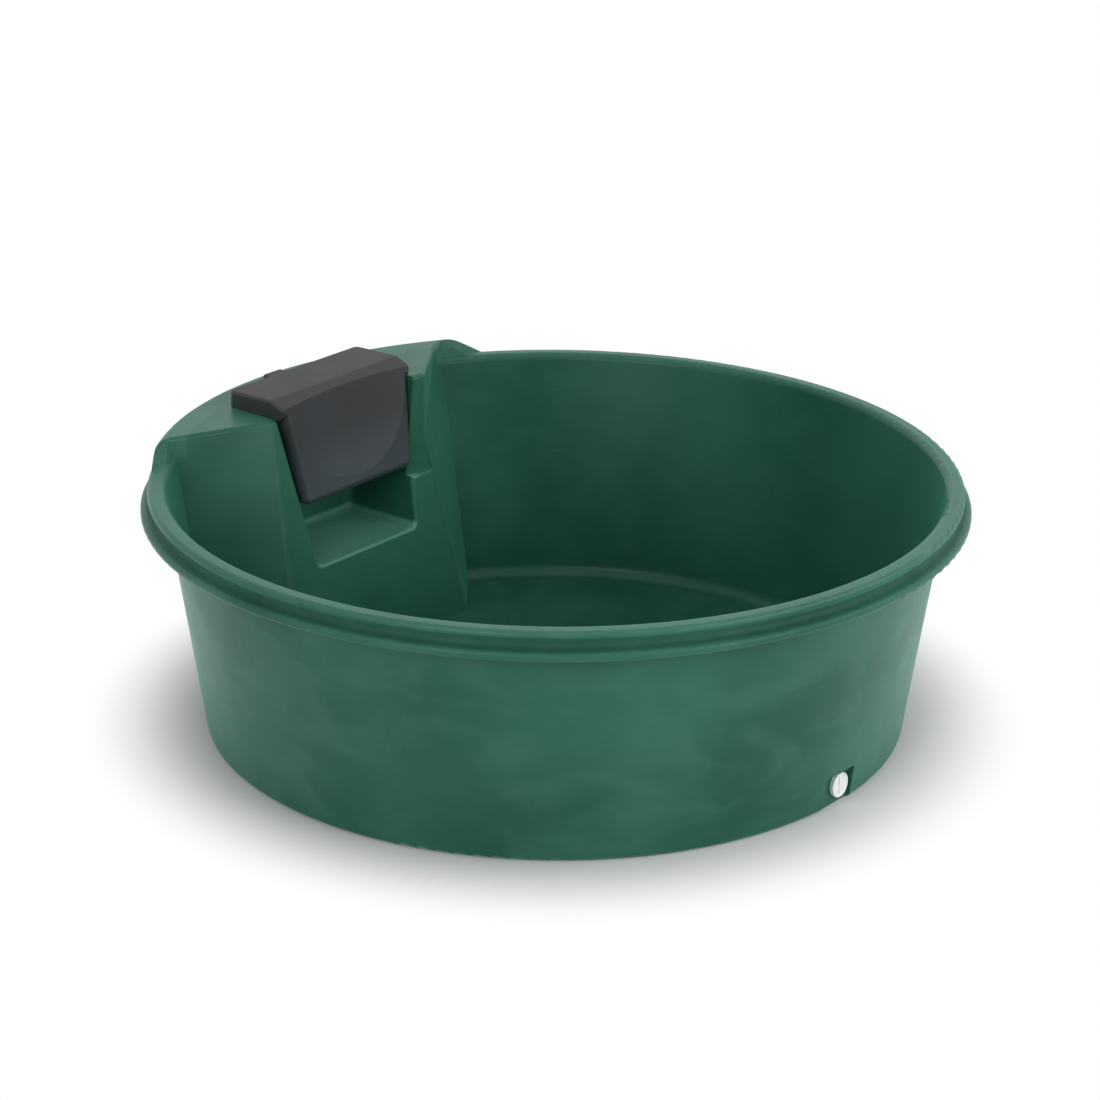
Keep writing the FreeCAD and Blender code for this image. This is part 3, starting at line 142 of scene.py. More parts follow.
def rounded(corners, reach, steps=5):
    """An outline through (radius, place) corners. Each corner becomes the curve
    (1-u)^2 A + 2u(1-u) corner + u^2 B, where A and B lie a reach along its two sides."""
    corners = np.array(corners, float)
    reach = np.broadcast_to(np.array(reach, float), (len(corners),))[:, None]
    before = np.roll(corners, 1, axis=0) - corners
    after = np.roll(corners, -1, axis=0) - corners
    long_before = np.linalg.norm(before, axis=1, keepdims=True)
    long_after = np.linalg.norm(after, axis=1, keepdims=True)
    start = corners + before * np.minimum(reach / long_before, 0.45)
    end = corners + after * np.minimum(reach / long_after, 0.45)
    u = np.linspace(0, 1, steps)[None, :, None]
    curve = (1 - u) ** 2 * start[:, None] + 2 * u * (1 - u) * corners[:, None] + u ** 2 * end[:, None]
    return curve.reshape(-1, 2)


def ring(inner, outer, low, high, reach, steps=5):
    """Outline of a ring with rounded edges, from its bore round its outside."""
    return rounded([(inner, low), (outer, low), (outer, high), (inner, high)], reach, steps)


def turned(rod, outline, count=96, shape=None):
    """A surface turned about a rod. A row of the grid is one (radius, place) of the outline, a column
    one angle; shape may change the radius from (radius, place, angle)."""
    radius = outline[:, :1]
    place = outline[:, 1:]
    turn = angles(count)
    if shape is not None:
        radius = shape(radius, place, turn)
    return rod.sweep(radius, place, turn)


def half_flats(corner):
    """Half the width across a hexagon nut's flats, from the radius of its corners."""
    return corner * np.cos(TURN / 12)


def hexagon(half, low, high, chamfer=1.7):
    """Radius of a hexagon nut's outside: half the flats over the cosine of the angle from the nearest
    flat's middle, cut back near both faces by a cone."""
    def shape(radius, place, turn):
        from_flat = np.mod(turn, TURN / 6) - TURN / 12
        flat = half / np.cos(from_flat)
        edge = np.minimum(place - low, high - place)
        outside = np.minimum(flat, half + chamfer * edge)
        return np.where(radius > half * 0.9, outside * radius / half, radius)
    return shape


def ribs(count, depth, from_radius):
    """Grip ribs: past a radius, the radius drops by depth times a flattened cosine of count times the
    angle."""
    def shape(radius, place, turn):
        wave = 0.5 - 0.5 * np.tanh(2 * np.cos(count * turn))
        share = np.clip((radius - from_radius) / (0.3 * from_radius), 0, 1) ** 0.5
        return radius - depth * wave * share
    return shape


def threaded(rod, radius, depth, pitch, low, high, steps=12, count=72):
    """A screw thread: the radius falls by depth times a wave of place over pitch minus angle over one turn.
    The wave fades out over half a pitch at both ends."""
    rows = max(4, int(round((high - low) / pitch * steps)))
    place = np.linspace(low, high, rows)[:, None]
    turn = angles(count)
    phase = np.mod(place / pitch - turn / TURN, 1)
    wave = np.clip(2.6 * np.abs(phase - 0.5) - 0.15, 0, 1)
    fade = np.clip(np.minimum(place - low, high - place) / (pitch / 2), 0, 1)
    return rod.sweep(radius - depth * (1 - (1 - wave) * fade), place, turn)


def flank(half, places):
    """The straight side of a nut: an outline row at the same radius for each place."""
    return np.stack([np.full_like(places, half), places], axis=-1)


def pebble(centre, half, directions, power=0.35, rows=24, columns=48):
    """A rounded block: each coordinate is a half size times a cosine or sine raised to a power below one,
    which keeps its sign."""
    def flat(value):
        return np.sign(value) * np.abs(value) ** power
    v = np.linspace(-np.pi / 2, np.pi / 2, rows)[:, None]
    u = angles(columns)
    a = flat(np.cos(v)) * flat(np.cos(u)) * half[0]
    b = flat(np.cos(v)) * flat(np.sin(u)) * half[1]
    c = flat(np.sin(v)) * half[2] + 0 * u
    axes = np.array(directions, float)
    return np.array(centre) + np.stack([a, b, c], axis=-1) @ axes


def faces_of(rows, columns, first, joined):
    """Four-cornered faces between neighbours of a grid that closes round its columns, and round its rows
    where it is joined."""
    index = first + np.arange(rows * columns).reshape(rows, columns)
    if joined:
        index = np.vstack([index, index[:1]])
    right = np.roll(index, -1, axis=1)
    return np.stack([index[:-1], right[:-1], right[1:], index[1:]], axis=-1).reshape(-1, 4)


def build(name, shells, body, finish, sharp=35, stands_for=()):
    """Makes one object from closed shells, each a grid of points and whether its last row joins its first.
    It merges seams and poles, turns faces outwards, and gives the piece its body, slot and finish."""
    points = []
    faces = []
    total = 0
    for grid, joined in shells:
        rows, columns = grid.shape[:2]
        points.append(grid.reshape(-1, 3))
        faces.append(faces_of(rows, columns, total, joined))
        total += rows * columns
    mesh = bpy.data.meshes.new(name)
    mesh.from_pydata(np.vstack(points), [], np.vstack(faces).tolist())
    close_up(mesh)
    dress(bpy.data.objects.new(name, mesh), body, finish, sharp, stands_for)


def seal(rod, node, body, finish, edge):
    """A rubber ring or washer with rounded edges, in place of its node."""
    grid = turned(rod, ring(*rod.measure(node), edge))
    build(node + "_rounded", [(grid, True)], body, finish, stands_for=[node])


def close_up(mesh, slack=1e-6):
    """Merges points that lie together, drops what that leaves loose, and turns faces outwards."""
    work = bmesh.new()
    work.from_mesh(mesh)
    bmesh.ops.remove_doubles(work, verts=work.verts, dist=slack)
    loose = [edge for edge in work.edges if not edge.link_faces]
    bmesh.ops.delete(work, geom=loose, context="EDGES")
    bmesh.ops.recalc_face_normals(work, faces=work.faces)
    work.to_mesh(mesh)
    work.free()


def dress(piece, body, finish, sharp, stands_for):
    """Links a new piece with its finish, shades it smooth but for sharp edges, hangs it on its body, hides
    its CAD nodes.
    """
    bpy.context.scene.collection.objects.link(piece)
    piece.data.materials.clear()
    piece.data.materials.append(finish)
    piece.data.shade_smooth()
    piece.data.set_sharp_from_angle(angle=np.radians(sharp))
    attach(piece, body)
    if stands_for:
        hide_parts(*stands_for)


def finish_node(node, finish):
    """Gives a CAD node a finish, in every material slot that it has."""
    slots = frame["nodes"][node].material_slots
    if not slots:
        raise RuntimeError(f"{node} has no material slot")
    for slot in slots:
        slot.material = finish


# ---- finishes ----

class Wire:
    """One output of a shader node. Arithmetic on it adds Math nodes."""

    def __init__(self, nodes, socket):
        self.nodes = nodes
        self.socket = socket

    def __add__(self, other):
        return self.nodes.maths("ADD", self, other)

    def __radd__(self, other):
        return self.nodes.maths("ADD", other, self)

    def __sub__(self, other):
        return self.nodes.maths("SUBTRACT", self, other)

    def __rsub__(self, other):
        return self.nodes.maths("SUBTRACT", other, self)

    def __mul__(self, other):
        return self.nodes.maths("MULTIPLY", self, other)

    def __rmul__(self, other):
        return self.nodes.maths("MULTIPLY", other, self)

    def __truediv__(self, other):
        return self.nodes.maths("DIVIDE", self, other)

    def __rtruediv__(self, other):
        return self.nodes.maths("DIVIDE", other, self)

    def __pow__(self, other):
        return self.nodes.maths("POWER", self, other)


class Nodes:
    """A node tree that is filled by calls."""

    def __init__(self, tree):
        self.tree = tree
        tree.nodes.clear()

    def node(self, kind, settings, values, output=0):
        """Adds a node, makes its settings first, fills its sockets with values or wires, gives one output."""
        made = self.tree.nodes.new("ShaderNode" + kind)
        for name, value in settings.items():
            setattr(made, name, value)
        for key, value in values.items():
            socket = made.inputs[key]
            if isinstance(value, Wire):
                self.tree.links.new(value.socket, socket)
            elif socket.type == "RGBA":
                socket.default_value = (*value[:3], 1)
            else:
                socket.default_value = value
        if not made.outputs:
            return None
        return Wire(self, made.outputs[output])

    def maths(self, operation, *values):
        """A Math node on up to three values or wires."""
        return self.node("Math", {"operation": operation}, dict(enumerate(values)))

    def step(self, value, low, high):
        """0 below low, 1 above high, smooth between."""
        return self.node("MapRange", {"interpolation_type": "SMOOTHSTEP"},
                         {"Value": value, "From Min": low, "From Max": high})

    def band(self, value, low, high, rise, fall):
        """1 between low and high and 0 outside them. It rises above low and falls below high."""
        return self.step(value, low, low + rise) * (1 - self.step(value, high - fall, high))

    def blend(self, factor, first, second):
        """Two colours mixed by a factor."""
        return self.node("Mix", {"data_type": "RGBA"}, {0: factor, 6: first, 7: second}, 2)

    def place(self):
        """The point on the piece, in metres."""
        return self.node("TexCoord", {}, {}, "Object")

    def split(self, vector):
        """The three numbers of a vector."""
        return [self.node("SeparateXYZ", {}, {0: vector}, axis) for axis in "XYZ"]

    def join(self, x, y, z):
        """A vector of three numbers."""
        return self.node("CombineXYZ", {}, {"X": x, "Y": y, "Z": z})

    def noise(self, where, scale, detail=2, rough=0.5, warp=0):
        """Cloudy noise from 0 to 1, with a scale in cycles per metre."""
        return self.node("TexNoise", {}, {"Vector": where, "Scale": scale, "Detail": detail,
                                          "Roughness": rough, "Distortion": warp})

    def scaled(self, vector, x, y, z):
        """A vector with its parts multiplied."""
        return self.node("VectorMath", {"operation": "MULTIPLY"}, {0: vector, 1: (x, y, z)})

    def facing(self):
        """The direction that the surface faces."""
        return self.node("NewGeometry", {}, {}, "Normal")

    def bump(self, height):
        """The normal over a height in metres."""
        return self.node("Bump", {}, {"Strength": 1.0, "Distance": 1.0, "Height": height})


def finish(name, recipe):
    """A material whose recipe gives the Principled shader's sockets, from the nodes it is passed."""
    material = bpy.data.materials.new(name)
    material.use_nodes = True
    nodes = Nodes(material.node_tree)
    shader = nodes.node("BsdfPrincipled", {}, recipe(nodes))
    nodes.node("OutputMaterial", {}, {"Surface": shader})
    return material


def rim_marks(n, z, radius, rim_top, outside, sizes):
    """Where the rim's crown is rubbed pale and lightened as a painted highlight, and where painted shade
    darkens the groove below it.
    """
    fade = sizes.mark_fade
    start = outside - sizes.rim_width
    # Rubbing on the crown, lightened further as a painted highlight.
    worn_and_highlighted = n.step(z, rim_top - sizes.crown, rim_top) * n.step(radius, start, start + fade)
    # Painted shade in the hollow between the bead and the lip.
    groove_shade = n.band(z, rim_top - sizes.groove_low, rim_top - sizes.groove_high, 0.4 * fade, 0.6 * fade)
    groove_shade = groove_shade * n.band(radius, outside - sizes.groove_inside, outside - sizes.groove_outside,
                         fade, 0.8 * fade)
    return worn_and_highlighted, groove_shade


def shelf_light(n, x, y, z, up, sizes):
    """Where painted light brightens the shelf: on faces that look up below the cover, within its width and
    just in front of it.
    """
    low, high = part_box("service_cover")
    fade = sizes.mark_fade
    start = low[1] - sizes.light_reach
    painted_light = n.step(up, 0.25, 0.7) * n.step(y, start, start + 5 * fade)
    painted_light = painted_light * (1 - n.step(z, low[2], low[2] + 3 * fade))
    return painted_light * (1 - n.step(x * x, (0.9 * high[0]) ** 2, high[0] ** 2))


def tub_plastic(colours, sizes):
    """Dark green rotomoulded plastic: broad clouds, bloom in blotches that is weaker on faces that look
    inwards, which paints shade inside the tub, fine speckle, drawn-out scuffs, a pale rubbed rim lightened
    further as a painted highlight, painted shade in the rim's groove, painted light on the shelf under the
    cover, long shallow waves and orange peel."""
    points = points_of("tub_shell")
    away_from_box = points[points[:, 1] < 0]
    outside = np.hypot(away_from_box[:, 0], away_from_box[:, 1]).max()
    rim_top = away_from_box[:, 2].max()
    if points[:, 2].max() <= rim_top:
        raise RuntimeError("the service box should stand above the rim")

    def recipe(n):
        spot = n.place()
        x, y, z = n.split(spot)
        facing_x, facing_y, up = n.split(n.facing())
        radius = (x * x + y * y) ** 0.5
        outward = n.step((facing_x * x + facing_y * y) / radius, -0.2, 0.2)
        crown, groove = rim_marks(n, z, radius, rim_top, outside, sizes)
        foot = 1 - n.step(z, 0.0, sizes.foot_band)
        shelf = shelf_light(n, x, y, z, up, sizes)
        clouds = n.noise(spot, 2.4, 3, 0.5)
        blotch = n.step(n.noise(n.scaled(spot, 1, 1, 1.7), 5.0, 4, 0.55, 0.6), 0.38, 0.66)
        patch = n.noise(spot, 19, 3, 0.55)
        speckle = n.noise(spot, 330, 1)
        drawn = n.join(x / radius * 0.8, y / radius * 0.8, z * 7)
        scuff = n.step(n.noise(drawn, 11, 5, 0.62, 0.3), 0.60, 0.78)
        patchy_wear_and_highlight = crown * n.step(n.noise(spot, 46, 4, 0.6), 0.42, 0.72)
        tone = n.blend(n.step(clouds, 0.3, 0.7), colours.tub_deep, colours.tub)
        # Painted shade: the paler blotches are laid on more thinly on faces that look inwards, so the inside
        # reads darker.
        tone = n.blend(blotch * (0.18 + outward * 0.26), tone, colours.tub_pale)
        tone = n.blend((patch - 0.35) * 0.35, tone, colours.tub_deep)
        tone = n.blend((speckle - 0.35) * 0.16, tone, colours.tub_pale)
        tone = n.blend(scuff * 0.10, tone, colours.tub_scuff_and_highlight)
        # The rim's crown is lightened: partly rubbing, partly a painted highlight.
        tone = n.blend(crown * 0.20 + patchy_wear_and_highlight * 0.16, tone, colours.tub_scuff_and_highlight)
        tone = n.blend(foot * patch * 0.22, tone, colours.tub_deep)
        # Painted light on the shelf under the cover, where light falls on it.
        tone = n.blend(shelf * (0.45 + blotch * 0.25), tone, colours.tub_shelf_light)
        # Painted shade in the groove under the rim's bead.
        tone = n.blend(groove * (0.45 + patch * 0.35), tone, colours.tub_groove_shade)
        rough = 0.35 + (clouds - 0.5) * 0.14 + (patch - 0.5) * 0.12
        rough = rough + scuff * 0.12 + patchy_wear_and_highlight * 0.06 + groove * 0.25
        waves = n.noise(spot, 7.5, 1) * sizes.wave_height + n.noise(spot, 24, 1) * (sizes.wave_height * 0.16)
        peel = n.noise(spot, 410, 2) * sizes.peel_height
        relief = waves + peel + scuff * sizes.scuff_height
        return {"Base Color": tone, "Roughness": rough, "Normal": n.bump(relief),
                "IOR": 1.51, "Specular IOR Level": 0.18, "Sheen Weight": 0.32, "Sheen Roughness": 0.35,
                "Sheen Tint": colours.tub_sheen}
    return finish("tub plastic", recipe)


def cover_plastic(colours, sizes):
    """Dark grey moulded plastic: cool clouds, warm dust lying on the upper faces, blue-grey painted light low
    on the front that stands in for light thrown up from below, fine grain, thin scratches."""
    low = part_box("service_cover")[0][2]

    def recipe(n):
        spot = n.place()
        z = n.split(spot)[2]
        up = n.split(n.facing())[2]
        clouds = n.noise(spot, 6.5, 3, 0.5, 0.4)
        patch = n.noise(spot, 38, 4, 0.6)
        grain = n.noise(spot, 900, 1)
        lines = n.noise(n.scaled(spot, 5, 60, 60), 6, 4, 0.6)
        cross = n.noise(n.scaled(spot, 70, 6, 25), 6, 4, 0.6)
        scratch = n.step(lines, 0.66, 0.74) + n.step(cross, 0.68, 0.76)
        dust = n.step(up, 0.55, 0.95) * (0.15 + patch * 0.5)
        tone = n.blend(n.step(clouds, 0.3, 0.7), colours.cover_deep, colours.cover)
        tone = n.blend((patch - 0.3) * 0.35, tone, colours.cover_deep)
        # Painted light thrown up from below: the front is paler and bluer towards its foot.
        bloom = 1 - n.step(z, low + sizes.mark_fade, low + sizes.low_light_height)
        bloom = bloom * (1 - n.step(up, 0.3, 0.7))
        tone = n.blend(bloom * (0.4 + clouds * 0.5), tone, colours.cover_low_light)
        tone = n.blend(dust * 0.30, tone, colours.cover_dust)
        tone = n.blend(scratch * 0.10, tone, colours.cover_dust)
        tone = n.blend((grain - 0.4) * 0.25, tone, colours.cover_dust)
        rough = 0.52 + (clouds - 0.5) * 0.2 + dust * 0.15 - scratch * 0.08
        relief = grain * sizes.peel_height + patch * (2 * sizes.peel_height)
        relief = relief + n.noise(spot, 14, 1) * (sizes.wave_height * 0.35)
        return {"Base Color": tone, "Roughness": rough, "Normal": n.bump(relief), "IOR": 1.5}
    return finish("cover plastic", recipe)


def metal(name, base, stain, rough, lathe_lines, relief=0.00001):
    """Turned or drawn metal: cloudy stain, grain, and fine lines across the lathe's axis."""
    def recipe(n):
        spot = n.place()
        clouds = n.step(n.noise(spot, 90, 4, 0.6), 0.42, 0.72)
        grain = n.noise(spot, 1500, 2)
        lines = n.noise(n.scaled(spot, 0.05, 1, 0.05), lathe_lines, 2, 0.7)
        tone = n.blend(clouds * 0.55, base, stain)
        tone = n.blend((grain - 0.4) * 0.3, tone, stain)
        gloss = rough + clouds * 0.22 + (grain - 0.5) * 0.12
        height = lines * (3 * relief) + grain * relief + n.noise(spot, 260, 2) * (4 * relief)
        return {"Base Color": tone, "Metallic": 1.0, "Roughness": gloss, "Normal": n.bump(height)}
    return finish(name, recipe)


def moulded(name, base, stain, rough, relief=0.00003, coat=0.0):
    """A small moulding: slight clouds and stain, fine grain and a soft moulded skin."""
    def recipe(n):
        spot = n.place()
        clouds = n.noise(spot, 55, 4, 0.55)
        grain = n.noise(spot, 1300, 2)
        tone = n.blend(n.step(clouds, 0.45, 0.8) * 0.35, base, stain)
        tone = n.blend((grain - 0.4) * 0.18, tone, stain)
        gloss = rough + (clouds - 0.5) * 0.2 + (grain - 0.5) * 0.06
        height = grain * relief + n.noise(spot, 170, 1) * (relief * 4)
        return {"Base Color": tone, "Roughness": gloss, "Normal": n.bump(height), "Coat Weight": coat}
    return finish(name, recipe)


# ---- settings ----

def length(name, text, default):
    """A small length that a user may change."""
    return FloatProperty(name=name, description=text, default=default, min=0.0, precision=5,
                         subtype="DISTANCE", unit="LENGTH")


def colour(name, text, default):
    """A colour that a user may change."""
    return FloatVectorProperty(name=name, description=text, default=default, min=0.0, max=1.0, size=3,
                               subtype="COLOR")


def share(name, text, default):
    """A plain number that a user may change."""
    return FloatProperty(name=name, description=text, default=default, min=0.0)


class TroughSizes(PropertyGroup):
    """Small shapes that the pieces have beyond the CAD."""
    edge: length("Edge rounding", "Rounding of the small pieces' edges", 0.0006)
    gap: length("Gap", "Room between the plug's shank and its seal", 0.00005)
    runout: length("Run-out", "Plain length before the bush's thread and past the lever's end", 0.0004)
    dish: length("Plug dish", "Depth of the dish in the drain plug's head", 0.0022)
    dish_rim: length("Plug rim", "Width of the flat rim round the dish", 0.0036)
    grip: length("Grip width", "Width of the bar across the dish", 0.0068)
    plug_neck: length("Plug neck", "Plain length of the shank under the plug's head", 0.0012)
    plug_end: length("Plug end", "Length of the shank's plain end", 0.0025)
    plug_pitch: length("Plug pitch", "Pitch of the drain plug's thread", 0.0030)
    plug_thread: length("Plug thread", "Depth of the drain plug's thread", 0.0010)
    cap_gap: length("Cap gap", "Room between the cap's bore and the valve's barrel", 0.00002)
    sleeve: length("Sleeve", "How far the threaded sleeve reaches into the tail's metal", 0.0004)
    thread_skin: length("Thread skin", "How far the tail is drawn in below its thread's root", 0.0001)
    tail_neck: length("Tail neck", "Plain length of the valve's tail behind its outer nut", 0.003)
    tail_pitch: length("Tail pitch", "Pitch of the valve tail's pipe thread", 0.001814)
    tail_thread: length("Tail thread", "Depth of the valve tail's pipe thread", 0.0010)
    rib_count: IntProperty(name="Cap ribs", description="Number of ribs round the valve's cap",
                           default=30, min=6)
    rib_depth: length("Rib depth", "Depth of the ribs round the valve's cap", 0.0007)
    rib_reach: length("Rib reach", "How far in from the cap's edge the ribs reach", 0.0022)
    lobe_count: IntProperty(name="Nut lobes", description="Number of grips round the drain's ring nut",
                            default=10, min=4)
    lobe_depth: length("Lobe depth", "Depth of the grips round the drain's ring nut", 0.0020)
    float_seam: length("Float seam", "Height of the moulding seam round the float", 0.0006)
    float_boss: length("Float boss", "Radius of the float's flat boss", 0.0100)
    float_gap: length("Float gap", "Room between the float's hole and the lever", 0.00004)
    boss_height: length("Boss height", "Height of the float's boss", 0.0002)
    boss_edge: length("Boss edge", "Width of the boss's sloping edge", 0.0010)
    seam_width: length("Seam width", "Half width of the moulding seam round the float", 0.0011)
    mark_fade: length("Mark fade", "Width over which marks on the tub fade out", 0.010)
    # The rim's crown is partly rubbed and partly a painted highlight.
    rim_width: length("Rim width", "Width of the rim's worn ring, from the lip inwards", 0.080)
    crown: length("Crown", "Height of the rim's worn crown", 0.012)
    # The next four settings bound the painted shade in the groove under the rim's bead.
    groove_low: length("Dirt, low", "Lower end of the rim's dirt below the rim's top", 0.040)
    groove_high: length("Dirt, high", "Upper end of the rim's dirt below the rim's top", 0.016)
    groove_inside: length("Dirt, inside", "Inner end of the rim's dirt, in from the lip", 0.030)
    groove_outside: length("Dirt, outside", "Outer end of the rim's dirt, in from the lip", 0.006)
    foot_band: length("Foot band", "Height of the darker band round the tub's foot", 0.090)
    # How far the painted light on the shelf reaches in front of the cover.
    light_reach: length("Film reach", "How far the lime film reaches in front of the cover", 0.080)
    # Height of the painted light low on the cover's front.
    low_light_height: length("Bloom height", "Height of the bloom on the cover's front", 0.180)
    scuff_height: length("Scuff height", "Height of the scuffs on the tub's skin", 0.00002)
    wave_height: length("Skin waves", "Height of the long waves in the tub's skin", 0.0011)
    peel_height: length("Skin peel", "Height of the fine orange peel in the tub's skin", 0.00006)


class TroughColours(PropertyGroup):
    """Colours of the pieces."""
    tub: colour("Tub", "Main colour of the tub's plastic", (0.025, 0.131, 0.088))
    tub_deep: colour("Tub, deep", "Darker clouds in the tub's plastic", (0.0125, 0.086, 0.056))
    tub_pale: colour("Tub, pale", "Paler bloom on the tub's plastic", (0.050, 0.170, 0.124))
    # Used for the scuffs and for the rim's crown, which is partly a painted highlight.
    tub_scuff_and_highlight: colour("Tub, scuffs", "Scuffs and worn edges of the tub", (0.090, 0.265, 0.190))
    tub_sheen: colour("Tub, sheen", "Tint of the tub's soft sheen", (0.30, 1.0, 0.70))
    # Colour of the painted light on the shelf under the cover.
    tub_shelf_light: colour("Tub, lime", "Lime film on the shelf under the cover", (0.160, 0.430, 0.320))
    # Colour of the painted shade in the rim's groove.
    tub_groove_shade: colour("Tub, dirt", "Dirt in the groove of the rim", (0.004, 0.045, 0.026))
    cover: colour("Cover", "Main colour of the cover", (0.017, 0.022, 0.027))
    cover_deep: colour("Cover, deep", "Darker clouds in the cover", (0.010, 0.012, 0.016))
    # Colour of the painted light low on the cover's front.
    cover_low_light: colour("Cover, bloom", "Bloom low on the cover's front", (0.042, 0.064, 0.072))
    cover_dust: colour("Cover, dust", "Warm dust and scratches on the cover", (0.120, 0.100, 0.098))
    brass: colour("Brass", "Colour of the valve's brass", (0.62, 0.44, 0.18))
    brass_stain: colour("Brass, stain", "Dull stain on the brass", (0.27, 0.18, 0.09))
    steel: colour("Steel", "Colour of the lever and its pin", (0.60, 0.60, 0.58))
    steel_stain: colour("Steel, stain", "Dull stain on the steel", (0.30, 0.29, 0.27))
    float_skin: colour("Float", "Colour of the float", (0.72, 0.16, 0.03))
    float_stain: colour("Float, stain", "Water marks on the float", (0.45, 0.13, 0.05))
    nylon: colour("Nylon", "Colour of the valve's seat", (0.80, 0.79, 0.74))
    nylon_stain: colour("Nylon, stain", "Stain on the valve's seat", (0.55, 0.50, 0.40))
    cap: colour("Cap", "Colour of the valve's cap", (0.030, 0.030, 0.030))
    cap_stain: colour("Cap, stain", "Lime marks on the valve's cap", (0.110, 0.110, 0.105))
    rubber: colour("Rubber", "Colour of the seals", (0.020, 0.020, 0.020))
    rubber_stain: colour("Rubber, bloom", "Bloom on the seals", (0.070, 0.070, 0.070))
    drain: colour("Drain", "Colour of the drain's plastic", (0.86, 0.88, 0.86))
    drain_stain: colour("Drain, stain", "Stain on the drain's plastic", (0.66, 0.68, 0.62))


class TroughStudio(PropertyGroup):
    """Camera, lamps and floor."""
    azimuth: FloatProperty(name="Azimuth", description="Where the camera stands round the trough",
                           default=np.radians(-50.896), subtype="ANGLE", unit="ROTATION")
    elevation: FloatProperty(name="Elevation", description="How far the camera looks down",
                             default=np.radians(21.452), subtype="ANGLE", unit="ROTATION")
    roll: FloatProperty(name="Roll", description="Turn of the camera about its view",
                        default=np.radians(0.357), subtype="ANGLE", unit="ROTATION")
    distance: length("Distance", "Camera to the point that it looks at", 7.2325)
    aim: FloatVectorProperty(name="Aim", description="Point that the camera looks at", size=3,
                             default=(-0.0077, 0.0095, 0.3678), subtype="XYZ", unit="LENGTH")
    lens: share("Lens", "Focal length in millimetres on a 36 mm sensor", 109.75)
    ambient: share("Ambient", "Strength of the light from all round", 0.80)
    overhead: share("Overhead", "Strength of the light from straight above", 0.20)
    top_power: share("Top lamp", "Power of the lamp overhead, in watts", 18.0)
    side_power: share("Side lamp", "Power of the lamp at the camera's right, in watts", 30.0)
    front_power: share("Front lamp", "Power of the lamp beside the camera, in watts", 46.0)
    box_power: share("Box lamp", "Power of the lamp in front of the service box, in watts", 42.0)
    floor: colour("Floor", "Colour of the floor", (0.70, 0.70, 0.70))
    floor_drop: length("Floor drop", "How far the floor lies below the trough's foot", 0.0005)
    shadow_full: length("Shadow, full", "Radius where the floor starts to turn white", 0.72)
    shadow_end: length("Shadow, end", "Radius past which the floor is white", 1.04)


# ---- operators ----

class TROUGH_OT_tub(Operator):
    """Gives the one-piece tub its green moulded plastic"""
    bl_idname = "trough.tub"
    bl_label = "Tub"

    def execute(self, context):
        scene = context.scene
        finish_node("tub_shell", tub_plastic(scene.trough_colours, scene.trough_sizes))
        return {"FINISHED"}


class TROUGH_OT_cover(Operator):
    """Gives the lift-off cover its dark plastic"""
    bl_idname = "trough.cover"
    bl_label = "Cover"

    def execute(self, context):
        scene = context.scene
        finish_node("service_cover", cover_plastic(scene.trough_colours, scene.trough_sizes))
        return {"FINISHED"}


